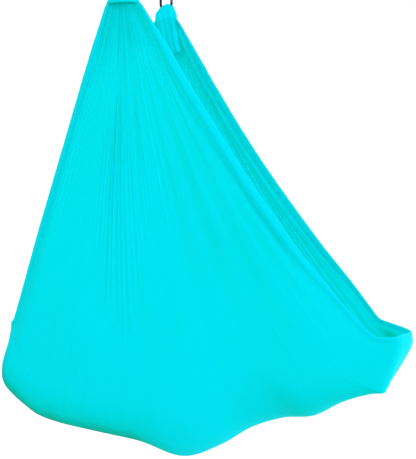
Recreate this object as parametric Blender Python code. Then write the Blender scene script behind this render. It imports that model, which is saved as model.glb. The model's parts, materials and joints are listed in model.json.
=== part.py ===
"""An aerial hammock: a wide sling of stretch cloth, knotted at both ends and hung from two ceiling plates.

Lengths are in metres. X runs from the head end to the foot end of the sling, Y from the front hanging point
to the back one, and Z up. The origin is the centre of the front ceiling plate's top face.
"""

import math

import bmesh
import bpy
import numpy as np
from mathutils import Vector

# The rig as a whole
HANG_SPACING = 0.5
SEAT_GAP = 0.0003
CUT_OVERRUN = 0.002

# Ceiling plate, its bolts and washers
PLATE_LENGTH = 0.11
PLATE_WIDTH = 0.058
PLATE_THICKNESS = 0.005
PLATE_CORNER = 0.012
BOLT_SPACING = 0.078
BOLT_RADIUS = 0.005
BOLT_EMBED = 0.050
BOLT_HOLE_PLAY = 0.0005
HEAD_ACROSS_FLATS = 0.016
HEAD_HEIGHT = 0.0064
WASHER_RADIUS = 0.010
WASHER_THICKNESS = 0.002

# U-shaped eye under the plate
EYE_BAR_RADIUS = 0.005
EYE_BEND_RADIUS = 0.017
EYE_DROP = 0.033

# Oval screw-gate carabiner, measured on the bar's centre line
BAR_RADIUS = 0.0055
OVAL_RADIUS = 0.024
HINGE_BELOW_ARC = 0.006
GATE_SPAN = 0.040
NOSE_ABOVE_ARC = 0.005
GATE_RADIUS = 0.0052
TONGUE_WIDTH = 0.008
TONGUE_THICKNESS = 0.004
PIN_RADIUS = 0.0015
PIN_SINK = 0.0004
LATCH_ABOVE_SHOULDER = 0.0042
LATCH_NOTCH_PLAY = 0.0006
BLADE_ABOVE_LATCH = 0.0038
BLADE_ROOM = 0.0006
SLOT_PAST_TONGUE = 0.0015
SPRING_RADIUS = 0.0014
SPRING_WIRE_RADIUS = 0.0003
SPRING_LENGTH = 0.009
PLUNGER_RADIUS = 0.0016
PLUNGER_LENGTH = 0.0045
SLEEVE_WALL = 0.0022
SLEEVE_CHAMFER = 0.0008
SLEEVE_LENGTH = 0.020
SLEEVE_OVER_BLADE = 0.0015

# Webbing strap with sewn pockets, from the upper carabiner to the lower one
STRAP_LENGTH = 0.3108
STRAP_WIDTH = 0.018
STRAP_THICKNESS = 0.002
STRAP_JOIN = 0.024
POCKET_DEPTH = 0.0095
TACK_LENGTH = 0.008
TACK_STITCHES = 0.006
TACK_WIDTH = 0.014
TACK_THICKNESS = 0.0008

# Knot on the lower carabiner, the turn round its neck, and the cloth's free end
KNOT_OVER_BAR = 0.018
NECK_BELOW_BAR = 0.044
KNOT_DEPTH = 0.060
KNOT_RING_PLAY = 0.0008
KNOT_FOLD_DEPTH = 0.0016
NECK_DEPTH = 0.040
WRAP_RADIUS = 0.0065
WRAP_PLAY = 0.0006
TAIL_WIDTH = 0.074
TAIL_THICKNESS = 0.015
TAIL_LENGTH = 0.150
TAIL_OFFSET = 0.013
TAIL_STAND_OFF = 0.004
TAIL_LEAN = 0.012
TAIL_FOLD_DEPTH = 0.003
FRONT_NECK_WIDTH = 0.130
BACK_NECK_WIDTH = 0.100

# Sling: the height and length that it fills, and the loops of cloth that hang between the necks
SLING_DROP = 1.786
BED_LENGTH = 1.712
BED_HALF_WIDTH = 0.21
END_HALF_WIDTH = 0.12
RIM_RISE = 0.26
FRONT_BOW = 0.090
BACK_BOW = 0.042
CLOTH_THICKNESS = 0.002
PLEAT_DEPTH = 0.030
HEM_WIDTH = 0.030
HEM_NECK_WIDTH = 0.009
HEM_THICKNESS = 0.011
HEM_PLAY = 0.0009

# The keel, where each loop turns, from the head rim to the foot rim: shares of BED_LENGTH along X from the
# hanging line, and of SLING_DROP down from the neck
KEEL_SHARES = (
    (-0.335, 0.703),
    (-0.353, 0.756),
    (-0.367, 0.815),
    (-0.347, 0.865),
    (-0.292, 0.905),
    (-0.228, 0.933),
    (-0.117, 0.955),
    (0.000, 0.975),
    (0.099, 1.000),
    (0.184, 0.971),
    (0.263, 0.930),
    (0.339, 0.907),
    (0.409, 0.893),
    (0.479, 0.862),
    (0.543, 0.846),
    (0.575, 0.828),
    (0.602, 0.781),
    (0.622, 0.736),
    (0.625, 0.704),
)
# Where a loop's leg ends and its tip begins, as shares of its keel point's X: over most of the bed, and at its ends
SHOULDER_SHARE = 0.84
SHOULDER_END_SHARE = 0.91
# The share of the keel, counted from the head, past which the foot hem's bow is felt
BOW_START_SHARE = 0.5
# The share of the pleats' depth that is left where the legs meet the bed
PLEAT_LEFT_SHARE = 0.15

# The knot's outline from above its waist to its top: shares of its height, half width and half depth
KNOT_SHARES = (
    (0.32, 1.00, 0.90),
    (0.46, 0.97, 1.00),
    (0.62, 0.86, 0.96),
    (0.78, 0.66, 0.82),
    (0.91, 0.40, 0.58),
    (1.00, 0.14, 0.24),
)
KNOT_BULGE_SHARE = 0.92

# The tail's outline from its top down: shares of its length, half width and half thickness
TAIL_SHARES = (
    (0.00, 0.70, 0.60),
    (0.18, 0.86, 1.00),
    (0.45, 0.97, 0.92),
    (0.72, 1.00, 0.78),
    (0.92, 0.84, 0.66),
    (1.00, 0.58, 0.45),
)

# Counts, and how finely round and draped shapes are faceted
POCKET_COUNT = 4
SPRING_TURNS = 4
BAR_SIDES = 10
ARC_STEPS = 12
PIN_SIDES = 8
HOLE_SIDES = 12
BOLT_SIDES = 12
SLEEVE_SIDES = 16
SPRING_SIDES = 4
SPRING_STEPS = 8
LOOP_STEPS = 10
POCKET_STEPS = 8
CORNER_STEPS = 3
KNOT_SIDES = 22
KNOT_FOLDS = 11
WRAP_SIDES = 7
TAIL_SIDES = 18
TAIL_FOLDS = 2
SLING_COLUMNS = 24
LEG_ROWS = 7
TIP_ROWS = 5
HEM_SIDES = 8
KEEL_STEPS = 12

# How quickly the bed's width and rim fall away towards its ends, and how square its tips are
WIDTH_POWER = 2.5
RIM_POWER = 2.5
SHOULDER_POWER = 12.0
BOW_POWER = 0.75
ROUND_TIP = 2.0
SQUARE_TIP = 3.5
SQUARE_POWER = 4.0
SMOOTH_ANGLE = math.radians(40)

# Heights down the chain, and the carabiner's length
OVAL_LENGTH = 2 * OVAL_RADIUS + HINGE_BELOW_ARC + GATE_SPAN + NOSE_ABOVE_ARC
EYE_BAR_Z = -PLATE_THICKNESS - EYE_DROP
UPPER_TOP_Z = EYE_BAR_Z + EYE_BAR_RADIUS + SEAT_GAP + BAR_RADIUS
UPPER_BOTTOM_Z = UPPER_TOP_Z - OVAL_LENGTH
LOWER_TOP_Z = UPPER_BOTTOM_Z - STRAP_LENGTH
LOWER_BOTTOM_Z = LOWER_TOP_Z - OVAL_LENGTH
NECK_Z = LOWER_BOTTOM_Z - NECK_BELOW_BAR
KNOT_TOP_Z = LOWER_BOTTOM_Z + BAR_RADIUS + KNOT_OVER_BAR

# Heights in a carabiner, down from the top of its centre line
HINGE_Z = -OVAL_RADIUS - HINGE_BELOW_ARC
HINGE_SHOULDER_Z = HINGE_Z + GATE_RADIUS + SEAT_GAP
NOSE_SHOULDER_Z = HINGE_Z - GATE_SPAN
LATCH_Z = NOSE_SHOULDER_Z + LATCH_ABOVE_SHOULDER

# Each hanging point: its name, its place along Y, the way to the middle of the sling, and its neck's width
SIDES = (
    ("front", 0.0, 1.0, FRONT_NECK_WIDTH),
    ("back", HANG_SPACING, -1.0, BACK_NECK_WIDTH),
)


def clear_scene():
    for obj in list(bpy.data.objects):
        bpy.data.objects.remove(obj, do_unlink=True)


def material(name, colour, roughness, metallic):
    made = bpy.data.materials.new(name)
    made.use_nodes = True
    shader = made.node_tree.nodes["Principled BSDF"]
    shader.inputs["Base Color"].default_value = (*colour, 1.0)
    shader.inputs["Roughness"].default_value = roughness
    shader.inputs["Metallic"].default_value = metallic
    return made


def mesh_of(points, faces):
    """A mesh with its faces turned outwards."""
    mesh = bpy.data.meshes.new("solid")
    mesh.from_pydata([tuple(point) for point in points], [], [tuple(face) for face in faces])
    shape = bmesh.new()
    shape.from_mesh(mesh)
    bmesh.ops.recalc_face_normals(shape, faces=shape.faces)
    shape.to_mesh(mesh)
    shape.free()
    return mesh


def joined(meshes):
    """One mesh that holds several bodies, each still separate."""
    points, faces = [], []
    for mesh in meshes:
        first = len(points)
        points += [vertex.co.copy() for vertex in mesh.vertices]
        faces += [[first + i for i in polygon.vertices] for polygon in mesh.polygons]
    return mesh_of(points, faces)


def lofted(rings, closed=False):
    """The solid through rings of equally many points: capped at its ends, or run back into its first ring."""
    count, sides = len(rings), len(rings[0])
    points = [point for ring in rings for point in ring]
    faces = []
    for i in range(count if closed else count - 1):
        here, there = i * sides, (i + 1) % count * sides
        for j in range(sides):
            k = (j + 1) % sides
            faces.append((here + j, here + k, there + k, there + j))
    if not closed:
        faces.append(range(sides))
        faces.append(range(len(points) - sides, len(points)))
    return mesh_of(points, faces)


def round_angles(sides, phase=0.0):
    return [2 * math.pi * (i + phase) / sides for i in range(sides)]


def carried_axes(points, closed):
    """Each point with two axes square to the path there, carried along it without a twist."""
    count = len(points)
    across = None
    for i, point in enumerate(points):
        before = points[i - 1] if closed or i else point
        after = points[(i + 1) % count] if closed or i + 1 < count else point
        along = (after - before).normalized()
        if across is None:
            across = Vector((0, 1, 0)) if abs(along.y) < math.cos(SMOOTH_ANGLE) else Vector((0, 0, 1))
        across = (across - along * across.dot(along)).normalized()
        yield point, across, along.cross(across)


def tube(points, radius, sides, closed=False, phase=0.0):
    rings = []
    for centre, across, up in carried_axes(points, closed):
        turn = round_angles(sides, phase)
        rings.append([centre + radius * (math.cos(a) * across + math.sin(a) * up) for a in turn])
    return lofted(rings, closed)


def rod_along_y(x, z, radius, half_length, sides):
    return tube([Vector((x, -half_length, z)), Vector((x, half_length, z))], radius, sides, phase=0.5)


def rod_along_z(x, y, low, high, radius, sides):
    return tube([Vector((x, y, high)), Vector((x, y, low))], radius, sides, phase=0.5)


def box(low, high):
    ring = [(low[0], low[1]), (high[0], low[1]), (high[0], high[1]), (low[0], high[1])]
    return lofted([[(x, y, z) for x, y in ring] for z in (low[2], high[2])])


def plate_along_y(outline, half_thickness):
    """A flat piece in the XZ plane with the given outline."""
    return lofted([[(x, y, z) for x, z in outline] for y in (-half_thickness, half_thickness)])


def turned(profile, sides):
    """A ring with a closed section of (radius, height) points about the vertical axis."""
    rings = []
    for a in round_angles(sides):
        rings.append([(r * math.cos(a), r * math.sin(a), z) for r, z in profile])
    return lofted(rings, closed=True)


def carved(solid, *steps):
    """The solid after each step, a Boolean operation with another mesh."""
    base = bpy.data.objects.new("blank", solid)
    bpy.context.scene.collection.objects.link(base)
    helpers = []
    for operation, mesh in steps:
        helper = bpy.data.objects.new("cutter", mesh)
        bpy.context.scene.collection.objects.link(helper)
        helper.hide_render = True
        helper.display_type = "WIRE"
        modifier = base.modifiers.new(operation, "BOOLEAN")
        modifier.operation = operation
        modifier.solver = "EXACT"
        modifier.object = helper
        helpers.append(helper)
    bpy.context.view_layer.update()
    graph = bpy.context.evaluated_depsgraph_get()
    result = bpy.data.meshes.new_from_object(base.evaluated_get(graph))
    for obj in [base, *helpers]:
        bpy.data.objects.remove(obj, do_unlink=True)
    return result


def pivot(name, place, parent=None):
    """An empty on a joint's axis, for the pieces that move about it."""
    empty = bpy.data.objects.new(name, None)
    bpy.context.scene.collection.objects.link(empty)
    empty.location = place
    bpy.context.view_layer.update()
    if parent is not None:
        hang(empty, parent)
    return empty


def hang(obj, parent):
    obj.parent = parent
    obj.matrix_parent_inverse = parent.matrix_world.inverted()
    bpy.context.view_layer.update()


def node(name, mesh, finish, parent=None, place=(0.0, 0.0, 0.0)):
    """One named sub-part, hung on its joint's empty where it moves."""
    obj = bpy.data.objects.new(name, mesh)
    bpy.context.scene.collection.objects.link(obj)
    obj.location = place
    bpy.context.view_layer.update()
    if not mesh.materials:
        mesh.materials.append(finish)
        mesh.shade_smooth()
        mesh.set_sharp_from_angle(angle=SMOOTH_ANGLE)
    if parent is not None:
        hang(obj, parent)
    return obj


# Each bolt: its name and its place along X
BOLTS = (("head", -BOLT_SPACING / 2), ("foot", BOLT_SPACING / 2))


def ceiling_plate():
    """An oblong plate with round corners and two bolt holes, its top face at the ceiling."""
    outline = []
    for quarter, (sx, sy) in enumerate(((1, 1), (-1, 1), (-1, -1), (1, -1))):
        for i in range(CORNER_STEPS + 1):
            a = math.pi / 2 * (quarter + i / CORNER_STEPS)
            x = sx * (PLATE_LENGTH / 2 - PLATE_CORNER) + PLATE_CORNER * math.cos(a)
            y = sy * (PLATE_WIDTH / 2 - PLATE_CORNER) + PLATE_CORNER * math.sin(a)
            outline.append((x, y))
    blank = lofted([[(x, y, z) for x, y in outline] for z in (-PLATE_THICKNESS, 0.0)])
    low, high = -PLATE_THICKNESS - CUT_OVERRUN, CUT_OVERRUN
    radius = BOLT_RADIUS + BOLT_HOLE_PLAY
    holes = [rod_along_z(x, 0.0, low, high, radius, HOLE_SIDES) for _, x in BOLTS]
    return carved(blank, ("DIFFERENCE", joined(holes)))


def bolt():
    """A hexagon-head bolt, its head under the washer and its shank up in the ceiling."""
    head_top = -PLATE_THICKNESS - WASHER_THICKNESS - 2 * SEAT_GAP
    flat = HEAD_ACROSS_FLATS / 2
    corner = flat / math.cos(math.pi / 6)
    turn = list(enumerate(round_angles(BOLT_SIDES)))
    rings = []
    for z in (BOLT_EMBED, head_top):
        rings.append([(BOLT_RADIUS * math.cos(a), BOLT_RADIUS * math.sin(a), z) for _, a in turn])
    for z in (head_top, head_top - HEAD_HEIGHT):
        reach = [(flat if i % 2 else corner, a) for i, a in turn]
        rings.append([(r * math.cos(a), r * math.sin(a), z) for r, a in reach])
    return lofted(rings)


def washer():
    top = -PLATE_THICKNESS - SEAT_GAP
    inner = BOLT_RADIUS + BOLT_HOLE_PLAY
    low = top - WASHER_THICKNESS
    return turned([(inner, low), (WASHER_RADIUS, low), (WASHER_RADIUS, top), (inner, top)], BOLT_SIDES)


def eye():
    """A bar bent into a U in the YZ plane, its two ends at the plate's underside."""
    top = -PLATE_THICKNESS - SEAT_GAP
    centre = EYE_BAR_Z + EYE_BEND_RADIUS
    points = [Vector((0, -EYE_BEND_RADIUS, top))]
    for i in range(ARC_STEPS + 1):
        a = math.pi * (1 + i / ARC_STEPS)
        points.append(Vector((0, EYE_BEND_RADIUS * math.cos(a), centre + EYE_BEND_RADIUS * math.sin(a))))
    points.append(Vector((0, EYE_BEND_RADIUS, top)))
    return tube(points, EYE_BAR_RADIUS, BAR_SIDES)


def oval_points():
    """The bar's centre line from its nose round the bottom, up the spine and over the top to its hinge end."""
    points = [Vector((OVAL_RADIUS, 0, NOSE_SHOULDER_Z))]
    for centre, start, sweep in ((OVAL_RADIUS - OVAL_LENGTH, 0.0, -math.pi), (-OVAL_RADIUS, math.pi, -math.pi)):
        for i in range(ARC_STEPS + 1):
            a = start + sweep * i / ARC_STEPS
            points.append(Vector((OVAL_RADIUS * math.cos(a), 0, centre + OVAL_RADIUS * math.sin(a))))
    points.append(Vector((OVAL_RADIUS, 0, HINGE_SHOULDER_Z)))
    return points


def half_round(centre_x, centre_z, radius, start):
    """Points of a half circle in the XZ plane, from the angle start."""
    turn = [start + math.pi * i / PIN_SIDES for i in range(PIN_SIDES + 1)]
    return [(centre_x + radius * math.cos(a), centre_z + radius * math.sin(a)) for a in turn]


def carabiner_body():
    """The bent bar, with a round-ended tongue at its hinge and a notched blade at its nose."""
    bar = tube(oval_points(), BAR_RADIUS, BAR_SIDES)
    half = TONGUE_WIDTH / 2
    left, right = OVAL_RADIUS - half, OVAL_RADIUS + half
    root = HINGE_SHOULDER_Z + CUT_OVERRUN
    tongue = half_round(OVAL_RADIUS, HINGE_Z, half, math.pi) + [(right, root), (left, root)]
    top = LATCH_Z + BLADE_ABOVE_LATCH
    foot = NOSE_SHOULDER_Z - CUT_OVERRUN
    blade = [(left, foot), (right, foot), (right, top), (left, top)]
    notch_radius = PIN_RADIUS + LATCH_NOTCH_PLAY
    mouth = left - CUT_OVERRUN
    notch = half_round(OVAL_RADIUS, LATCH_Z, notch_radius, -math.pi / 2)
    notch += [(mouth, LATCH_Z + notch_radius), (mouth, LATCH_Z - notch_radius)]
    plates = [plate_along_y(tongue, TONGUE_THICKNESS / 2), plate_along_y(blade, TONGUE_THICKNESS / 2)]
    hole = rod_along_y(OVAL_RADIUS, HINGE_Z, PIN_RADIUS + SEAT_GAP, TONGUE_THICKNESS, HOLE_SIDES)
    cuts = [hole, plate_along_y(notch, TONGUE_THICKNESS)]
    return carved(bar, ("UNION", joined(plates)), ("DIFFERENCE", joined(cuts)))


def gate_body():
    """The gate about its hinge pin: round-topped, slotted at both ends, and bored for its spring."""
    top, foot = GATE_RADIUS, SEAT_GAP - GATE_SPAN
    blank = rod_along_z(0.0, 0.0, foot, top, GATE_RADIUS, HOLE_SIDES)
    below = foot - CUT_OVERRUN
    outline = half_round(0.0, 0.0, GATE_RADIUS, 0.0) + [(-GATE_RADIUS, below), (GATE_RADIUS, below)]
    slot_half = TONGUE_THICKNESS / 2 + SEAT_GAP
    wide = GATE_RADIUS + CUT_OVERRUN
    slot_floor = -TONGUE_WIDTH / 2 - SLOT_PAST_TONGUE
    slot_roof = LATCH_Z - HINGE_Z + BLADE_ABOVE_LATCH + BLADE_ROOM
    hinge_slot = box((-wide, -slot_half, slot_floor), (wide, slot_half, wide))
    nose_slot = box((-wide, -slot_half, below), (wide, slot_half, slot_roof))
    holes = [rod_along_y(0.0, z, PIN_RADIUS + SEAT_GAP, wide, HOLE_SIDES) for z in (0.0, LATCH_Z - HINGE_Z)]
    bore_floor = plunger_low() - 2 * SEAT_GAP - SPRING_LENGTH
    bore_top = slot_floor + CUT_OVERRUN
    bore = rod_along_z(0.0, 0.0, bore_floor, bore_top, PLUNGER_RADIUS + SEAT_GAP, HOLE_SIDES)
    steps = [("INTERSECT", plate_along_y(outline, wide))]
    steps += [("DIFFERENCE", cutter) for cutter in (hinge_slot, nose_slot, joined(holes), bore)]
    return carved(blank, *steps)


def plunger_low():
    """The plunger's lower end, down from the hinge pin: its upper end bears on the tongue."""
    return -TONGUE_WIDTH / 2 - SEAT_GAP - PLUNGER_LENGTH


def plunger():
    return rod_along_z(0.0, 0.0, plunger_low(), plunger_low() + PLUNGER_LENGTH, PLUNGER_RADIUS, PIN_SIDES)


def gate_spring():
    """An open coil on the gate's axis, between the plunger and the floor of the bore."""
    rise = SPRING_LENGTH - 2 * SPRING_WIRE_RADIUS
    low = plunger_low() - SEAT_GAP - SPRING_LENGTH + SPRING_WIRE_RADIUS
    points = []
    for i in range(SPRING_TURNS * SPRING_STEPS + 1):
        a = 2 * math.pi * i / SPRING_STEPS
        z = low + rise * i / (SPRING_TURNS * SPRING_STEPS)
        points.append(Vector((SPRING_RADIUS * math.cos(a), SPRING_RADIUS * math.sin(a), z)))
    return tube(points, SPRING_WIRE_RADIUS, SPRING_SIDES)


def sleeve():
    """The locking sleeve, drawn back to its open place: its foot is just above the nose's blade."""
    foot = LATCH_Z - HINGE_Z + BLADE_ABOVE_LATCH + SLEEVE_OVER_BLADE
    top = foot + SLEEVE_LENGTH
    inner = BAR_RADIUS + SEAT_GAP
    outer = inner + SLEEVE_WALL
    edge = SLEEVE_CHAMFER
    profile = [
        (inner, foot),
        (outer - edge, foot),
        (outer, foot + edge),
        (outer, top - edge),
        (outer - edge, top),
        (inner, top),
    ]
    return turned(profile, SLEEVE_SIDES)


def strap_sag():
    """How far the inside of the oval's bow falls away from its middle at the strap's edge."""
    inside = OVAL_RADIUS - BAR_RADIUS
    return inside - math.sqrt(inside**2 - (STRAP_WIDTH / 2) ** 2)


def strap_layer_y():
    return (STRAP_THICKNESS + SEAT_GAP) / 2


def tack_pitch():
    """From one tack's middle to the next, down the strap's sewn stretch."""
    return (STRAP_LENGTH - 2 * STRAP_JOIN - TACK_LENGTH) / POCKET_COUNT


def strap_middle():
    """The band's middle line in the YZ plane, down its pocketed layer and back up its flat one."""
    loop = BAR_RADIUS + strap_sag() + SEAT_GAP + STRAP_THICKNESS / 2
    layer = strap_layer_y()
    points = []
    for i in range(LOOP_STEPS + 1):
        a = math.pi * i / LOOP_STEPS
        points.append((loop * math.cos(a), loop * math.sin(a)))
    pocket = tack_pitch() - TACK_LENGTH
    for n in range(POCKET_COUNT + 1):
        top = -STRAP_JOIN - n * tack_pitch()
        points.append((-layer, top))
        if n == POCKET_COUNT:
            break
        for i in range(POCKET_STEPS):
            share = i / POCKET_STEPS
            bulge = POCKET_DEPTH * math.sin(math.pi * share) ** 2
            points.append((-layer - bulge, top - TACK_LENGTH - pocket * share))
    points.append((-layer, STRAP_JOIN - STRAP_LENGTH))
    for i in range(LOOP_STEPS + 1):
        a = math.pi * (1 + i / LOOP_STEPS)
        points.append((loop * math.cos(a), loop * math.sin(a) - STRAP_LENGTH))
    points.append((layer, STRAP_JOIN - STRAP_LENGTH))
    points.append((layer, -STRAP_JOIN))
    return points


def strap():
    """An endless band tacked flat into two layers, with a loop at each end and pockets between."""
    middle = [Vector((0, y, z)) for y, z in strap_middle()]
    half, edge = STRAP_THICKNESS / 2, STRAP_WIDTH / 2
    rings = []
    for i, point in enumerate(middle):
        along = (middle[(i + 1) % len(middle)] - middle[i - 1]).normalized()
        out = Vector((0, along.z, -along.y))
        corners = ((-edge, -half), (-edge, half), (edge, half), (edge, -half))
        rings.append([point + out * depth + Vector((x, 0, 0)) for x, depth in corners])
    return carved(lofted(rings, closed=True), ("UNION", strap_tacks()))


def strap_tacks():
    """The bar tacks: a block of stitches through both layers above and below each pocket, proud of each face."""
    face = strap_layer_y() + STRAP_THICKNESS / 2 + TACK_THICKNESS
    half = TACK_WIDTH / 2
    inset = (TACK_LENGTH - TACK_STITCHES) / 2
    blocks = []
    for n in range(POCKET_COUNT + 1):
        top = -STRAP_JOIN - n * tack_pitch() - inset
        blocks.append(box((-half, -face, top - TACK_STITCHES), (half, face, top)))
    return joined(blocks)


def waist_half_width(neck):
    return neck / 2 - 2 * WRAP_RADIUS - WRAP_PLAY


def knot(y, neck):
    """The gathered cloth's bight: a folded dome over the lower carabiner's bow, with a waist below it."""
    foot = NECK_Z + SEAT_GAP
    height = KNOT_TOP_Z - foot
    waist = (waist_half_width(neck), NECK_DEPTH / 2, 0.0)
    sections = [(foot, *waist), (foot + 2 * WRAP_RADIUS + SEAT_GAP, *waist)]
    for up, wide, deep in KNOT_SHARES:
        half_width = wide * KNOT_BULGE_SHARE * neck / 2
        sections.append((foot + up * height, half_width, deep * KNOT_DEPTH / 2, wide * KNOT_FOLD_DEPTH))
    rings = []
    for z, half_width, half_depth, fold in sections:
        ring = []
        for a in round_angles(KNOT_SIDES):
            ruffle = fold * math.cos(KNOT_FOLDS * a)
            ring.append(((half_width + ruffle) * math.cos(a), y + (half_depth + ruffle) * math.sin(a), z))
        rings.append(ring)
    bar = [point + Vector((0, y, LOWER_TOP_Z)) for point in oval_points()]
    tunnel = tube(bar, BAR_RADIUS + KNOT_RING_PLAY, BAR_SIDES)
    return carved(lofted(rings), ("DIFFERENCE", tunnel))


def neck_wrap(y, neck):
    """The turn of cloth that draws the knot's waist in."""
    half_width, half_depth = waist_half_width(neck), NECK_DEPTH / 2
    away = WRAP_RADIUS + WRAP_PLAY
    z = NECK_Z + SEAT_GAP + WRAP_RADIUS
    points = []
    for a in round_angles(KNOT_SIDES):
        out = Vector((math.cos(a) / half_width, math.sin(a) / half_depth, 0)).normalized()
        points.append(Vector((half_width * math.cos(a), y + half_depth * math.sin(a), z)) + away * out)
    return tube(points, WRAP_RADIUS, WRAP_SIDES, closed=True)


def tail(y, inwards):
    """The cloth's free end: a flat folded tongue that hangs from the wrap, inside the sling."""
    half_width, half_thick = TAIL_WIDTH / 2, TAIL_THICKNESS / 2
    stand = (PLEAT_DEPTH + CLOTH_THICKNESS + TAIL_THICKNESS) / 2 + TAIL_STAND_OFF
    rings = []
    for down, wide, thick in TAIL_SHARES:
        ring = []
        for a in round_angles(TAIL_SIDES):
            x = wide * half_width * math.cos(a)
            fold = TAIL_FOLD_DEPTH * down * math.sin(2 * math.pi * TAIL_FOLDS * math.cos(a) / 2)
            depth = stand + TAIL_LEAN * down + fold + thick * half_thick * math.sin(a)
            ring.append((TAIL_OFFSET + x, y + inwards * depth, NECK_Z - down * TAIL_LENGTH))
        rings.append(ring)
    return lofted(rings)


def keel_table():
    """Even steps along a smooth curve through the keel's places: its distance shares, X and Z."""
    given = [(x * BED_LENGTH, NECK_Z - z * SLING_DROP) for x, z in KEEL_SHARES]
    ends = np.array([given[0], *given, given[-1]])
    ends[0] = 2 * ends[1] - ends[2]
    ends[-1] = 2 * ends[-2] - ends[-3]
    line = []
    for a, b, c, d in zip(ends, ends[1:], ends[2:], ends[3:]):
        for i in range(KEEL_STEPS):
            t = i / KEEL_STEPS
            bend = (2 * a - 5 * b + 4 * c - d) * t**2 + (3 * b - a - 3 * c + d) * t**3
            line.append((2 * b + (c - a) * t + bend) / 2)
    line.append(ends[-2])
    line = np.array(line)
    runs = np.concatenate([[0.0], np.cumsum(np.linalg.norm(np.diff(line, axis=0), axis=1))])
    return runs / runs[-1], line[:, 0], line[:, 1]


KEEL_AT, KEEL_X, KEEL_Z = keel_table()


def loop_point(side, u, along, turn):
    """A point of the loop at the share u from head hem to foot hem: along runs down its leg, turn round its tip."""
    _, place, inwards, neck = side
    keel = Vector((np.interp(u, KEEL_AT, KEEL_X), 0, np.interp(u, KEEL_AT, KEEL_Z)))
    edge = abs(2 * u - 1)
    pull = SHOULDER_SHARE + (SHOULDER_END_SHARE - SHOULDER_SHARE) * edge**SHOULDER_POWER
    shoulder = Vector((keel.x * pull, 0, keel.z + RIM_RISE * (1 - edge**RIM_POWER)))
    half_width = END_HALF_WIDTH + (BED_HALF_WIDTH - END_HALF_WIDTH) * (1 - edge**WIDTH_POWER)
    middle = HANG_SPACING / 2
    if turn > 0:
        power = 2 / (ROUND_TIP + (SQUARE_TIP - ROUND_TIP) * edge**SQUARE_POWER)
        point = shoulder + (keel - shoulder) * math.sin(turn) ** power
        point.y = middle - inwards * half_width * max(math.cos(turn), 0.0) ** power
        return point
    start = Vector(((2 * u - 1) * neck / 2, 0, NECK_Z))
    run = shoulder - start
    point = start + run * along
    felt = max(u - BOW_START_SHARE, 0.0) / (1 - BOW_START_SHARE)
    bow = (FRONT_BOW if inwards > 0 else BACK_BOW) * (3 - 2 * felt) * felt**2
    bow *= (4 * along * (1 - along)) ** BOW_POWER
    point += bow * Vector((run.z, 0, -run.x)).normalized()
    point.y = place + along * (middle - inwards * half_width - place)
    return point


def sling_rows():
    """Where each row of the sling lies: its side, how far down the leg, and how far round the tip."""
    legs = [(i / LEG_ROWS, 0.0) for i in range(LEG_ROWS)]
    tips = [(1.0, math.pi / 2 * i / TIP_ROWS) for i in range(TIP_ROWS + 1)]
    front = [(SIDES[0], *place) for place in legs + tips]
    back = [(SIDES[1], *place) for place in legs + tips[:-1]]
    return front + back[::-1]


def hem_share(row):
    """The share of a row's width that each hem takes."""
    side, along, _ = row
    width = 0.0
    for j in range(SLING_COLUMNS - 1):
        here = loop_point(side, j / (SLING_COLUMNS - 1), *row[1:])
        width += (loop_point(side, (j + 1) / (SLING_COLUMNS - 1), *row[1:]) - here).length
    return (HEM_NECK_WIDTH + (HEM_WIDTH - HEM_NECK_WIDTH) * along) / width


def sling_cloth():
    """One sheet from neck to neck between its hems, pleated at the necks and smooth at the bed."""
    smooth, pleats = [], []
    for side, along, turn in sling_rows():
        hem = hem_share((side, along, turn))
        fade = PLEAT_LEFT_SHARE * math.cos(turn) + (1 - PLEAT_LEFT_SHARE) * (1 - along)
        depth = fade * PLEAT_DEPTH / 2
        shares = [j / (SLING_COLUMNS - 1) for j in range(SLING_COLUMNS)]
        smooth.append([loop_point(side, hem + (1 - 2 * hem) * share, along, turn) for share in shares])
        pleats.append([depth * (-1) ** j if 0 < share < 1 else 0.0 for j, share in enumerate(shares)])
    return thick_sheet(smooth, pleats, CLOTH_THICKNESS)


def thick_sheet(smooth, pleats, thickness):
    """A closed solid on both sides of a smooth grid pleated along Y, level at its first and last rows."""
    rows, columns = len(smooth), len(smooth[0])
    fronts, backs = [], []
    for i in range(rows):
        for j in range(columns):
            down = smooth[min(i + 1, rows - 1)][j] - smooth[max(i - 1, 0)][j]
            across = smooth[i][min(j + 1, columns - 1)] - smooth[i][max(j - 1, 0)]
            normal = down.cross(across)
            if i in (0, rows - 1):
                normal.z = 0.0
            normal.normalize()
            middle = smooth[i][j] + Vector((0, pleats[i][j], 0))
            fronts.append(middle + normal * thickness / 2)
            backs.append(middle - normal * thickness / 2)
    other = rows * columns
    faces = []
    for i in range(rows - 1):
        for j in range(columns - 1):
            a = i * columns + j
            b, c, d = a + 1, a + columns + 1, a + columns
            for corners in ((a, b, c), (a, c, d)):
                faces.append(corners)
                faces.append([other + corner for corner in reversed(corners)])
    rim = list(range(columns))
    rim += [i * columns + columns - 1 for i in range(1, rows)]
    rim += [(rows - 1) * columns + j for j in range(columns - 2, -1, -1)]
    rim += [i * columns for i in range(rows - 2, 0, -1)]
    for here, there in zip(rim, rim[1:] + rim[:1]):
        faces.append((here, other + here, other + there, there))
    return mesh_of(fronts + backs, faces)


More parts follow.
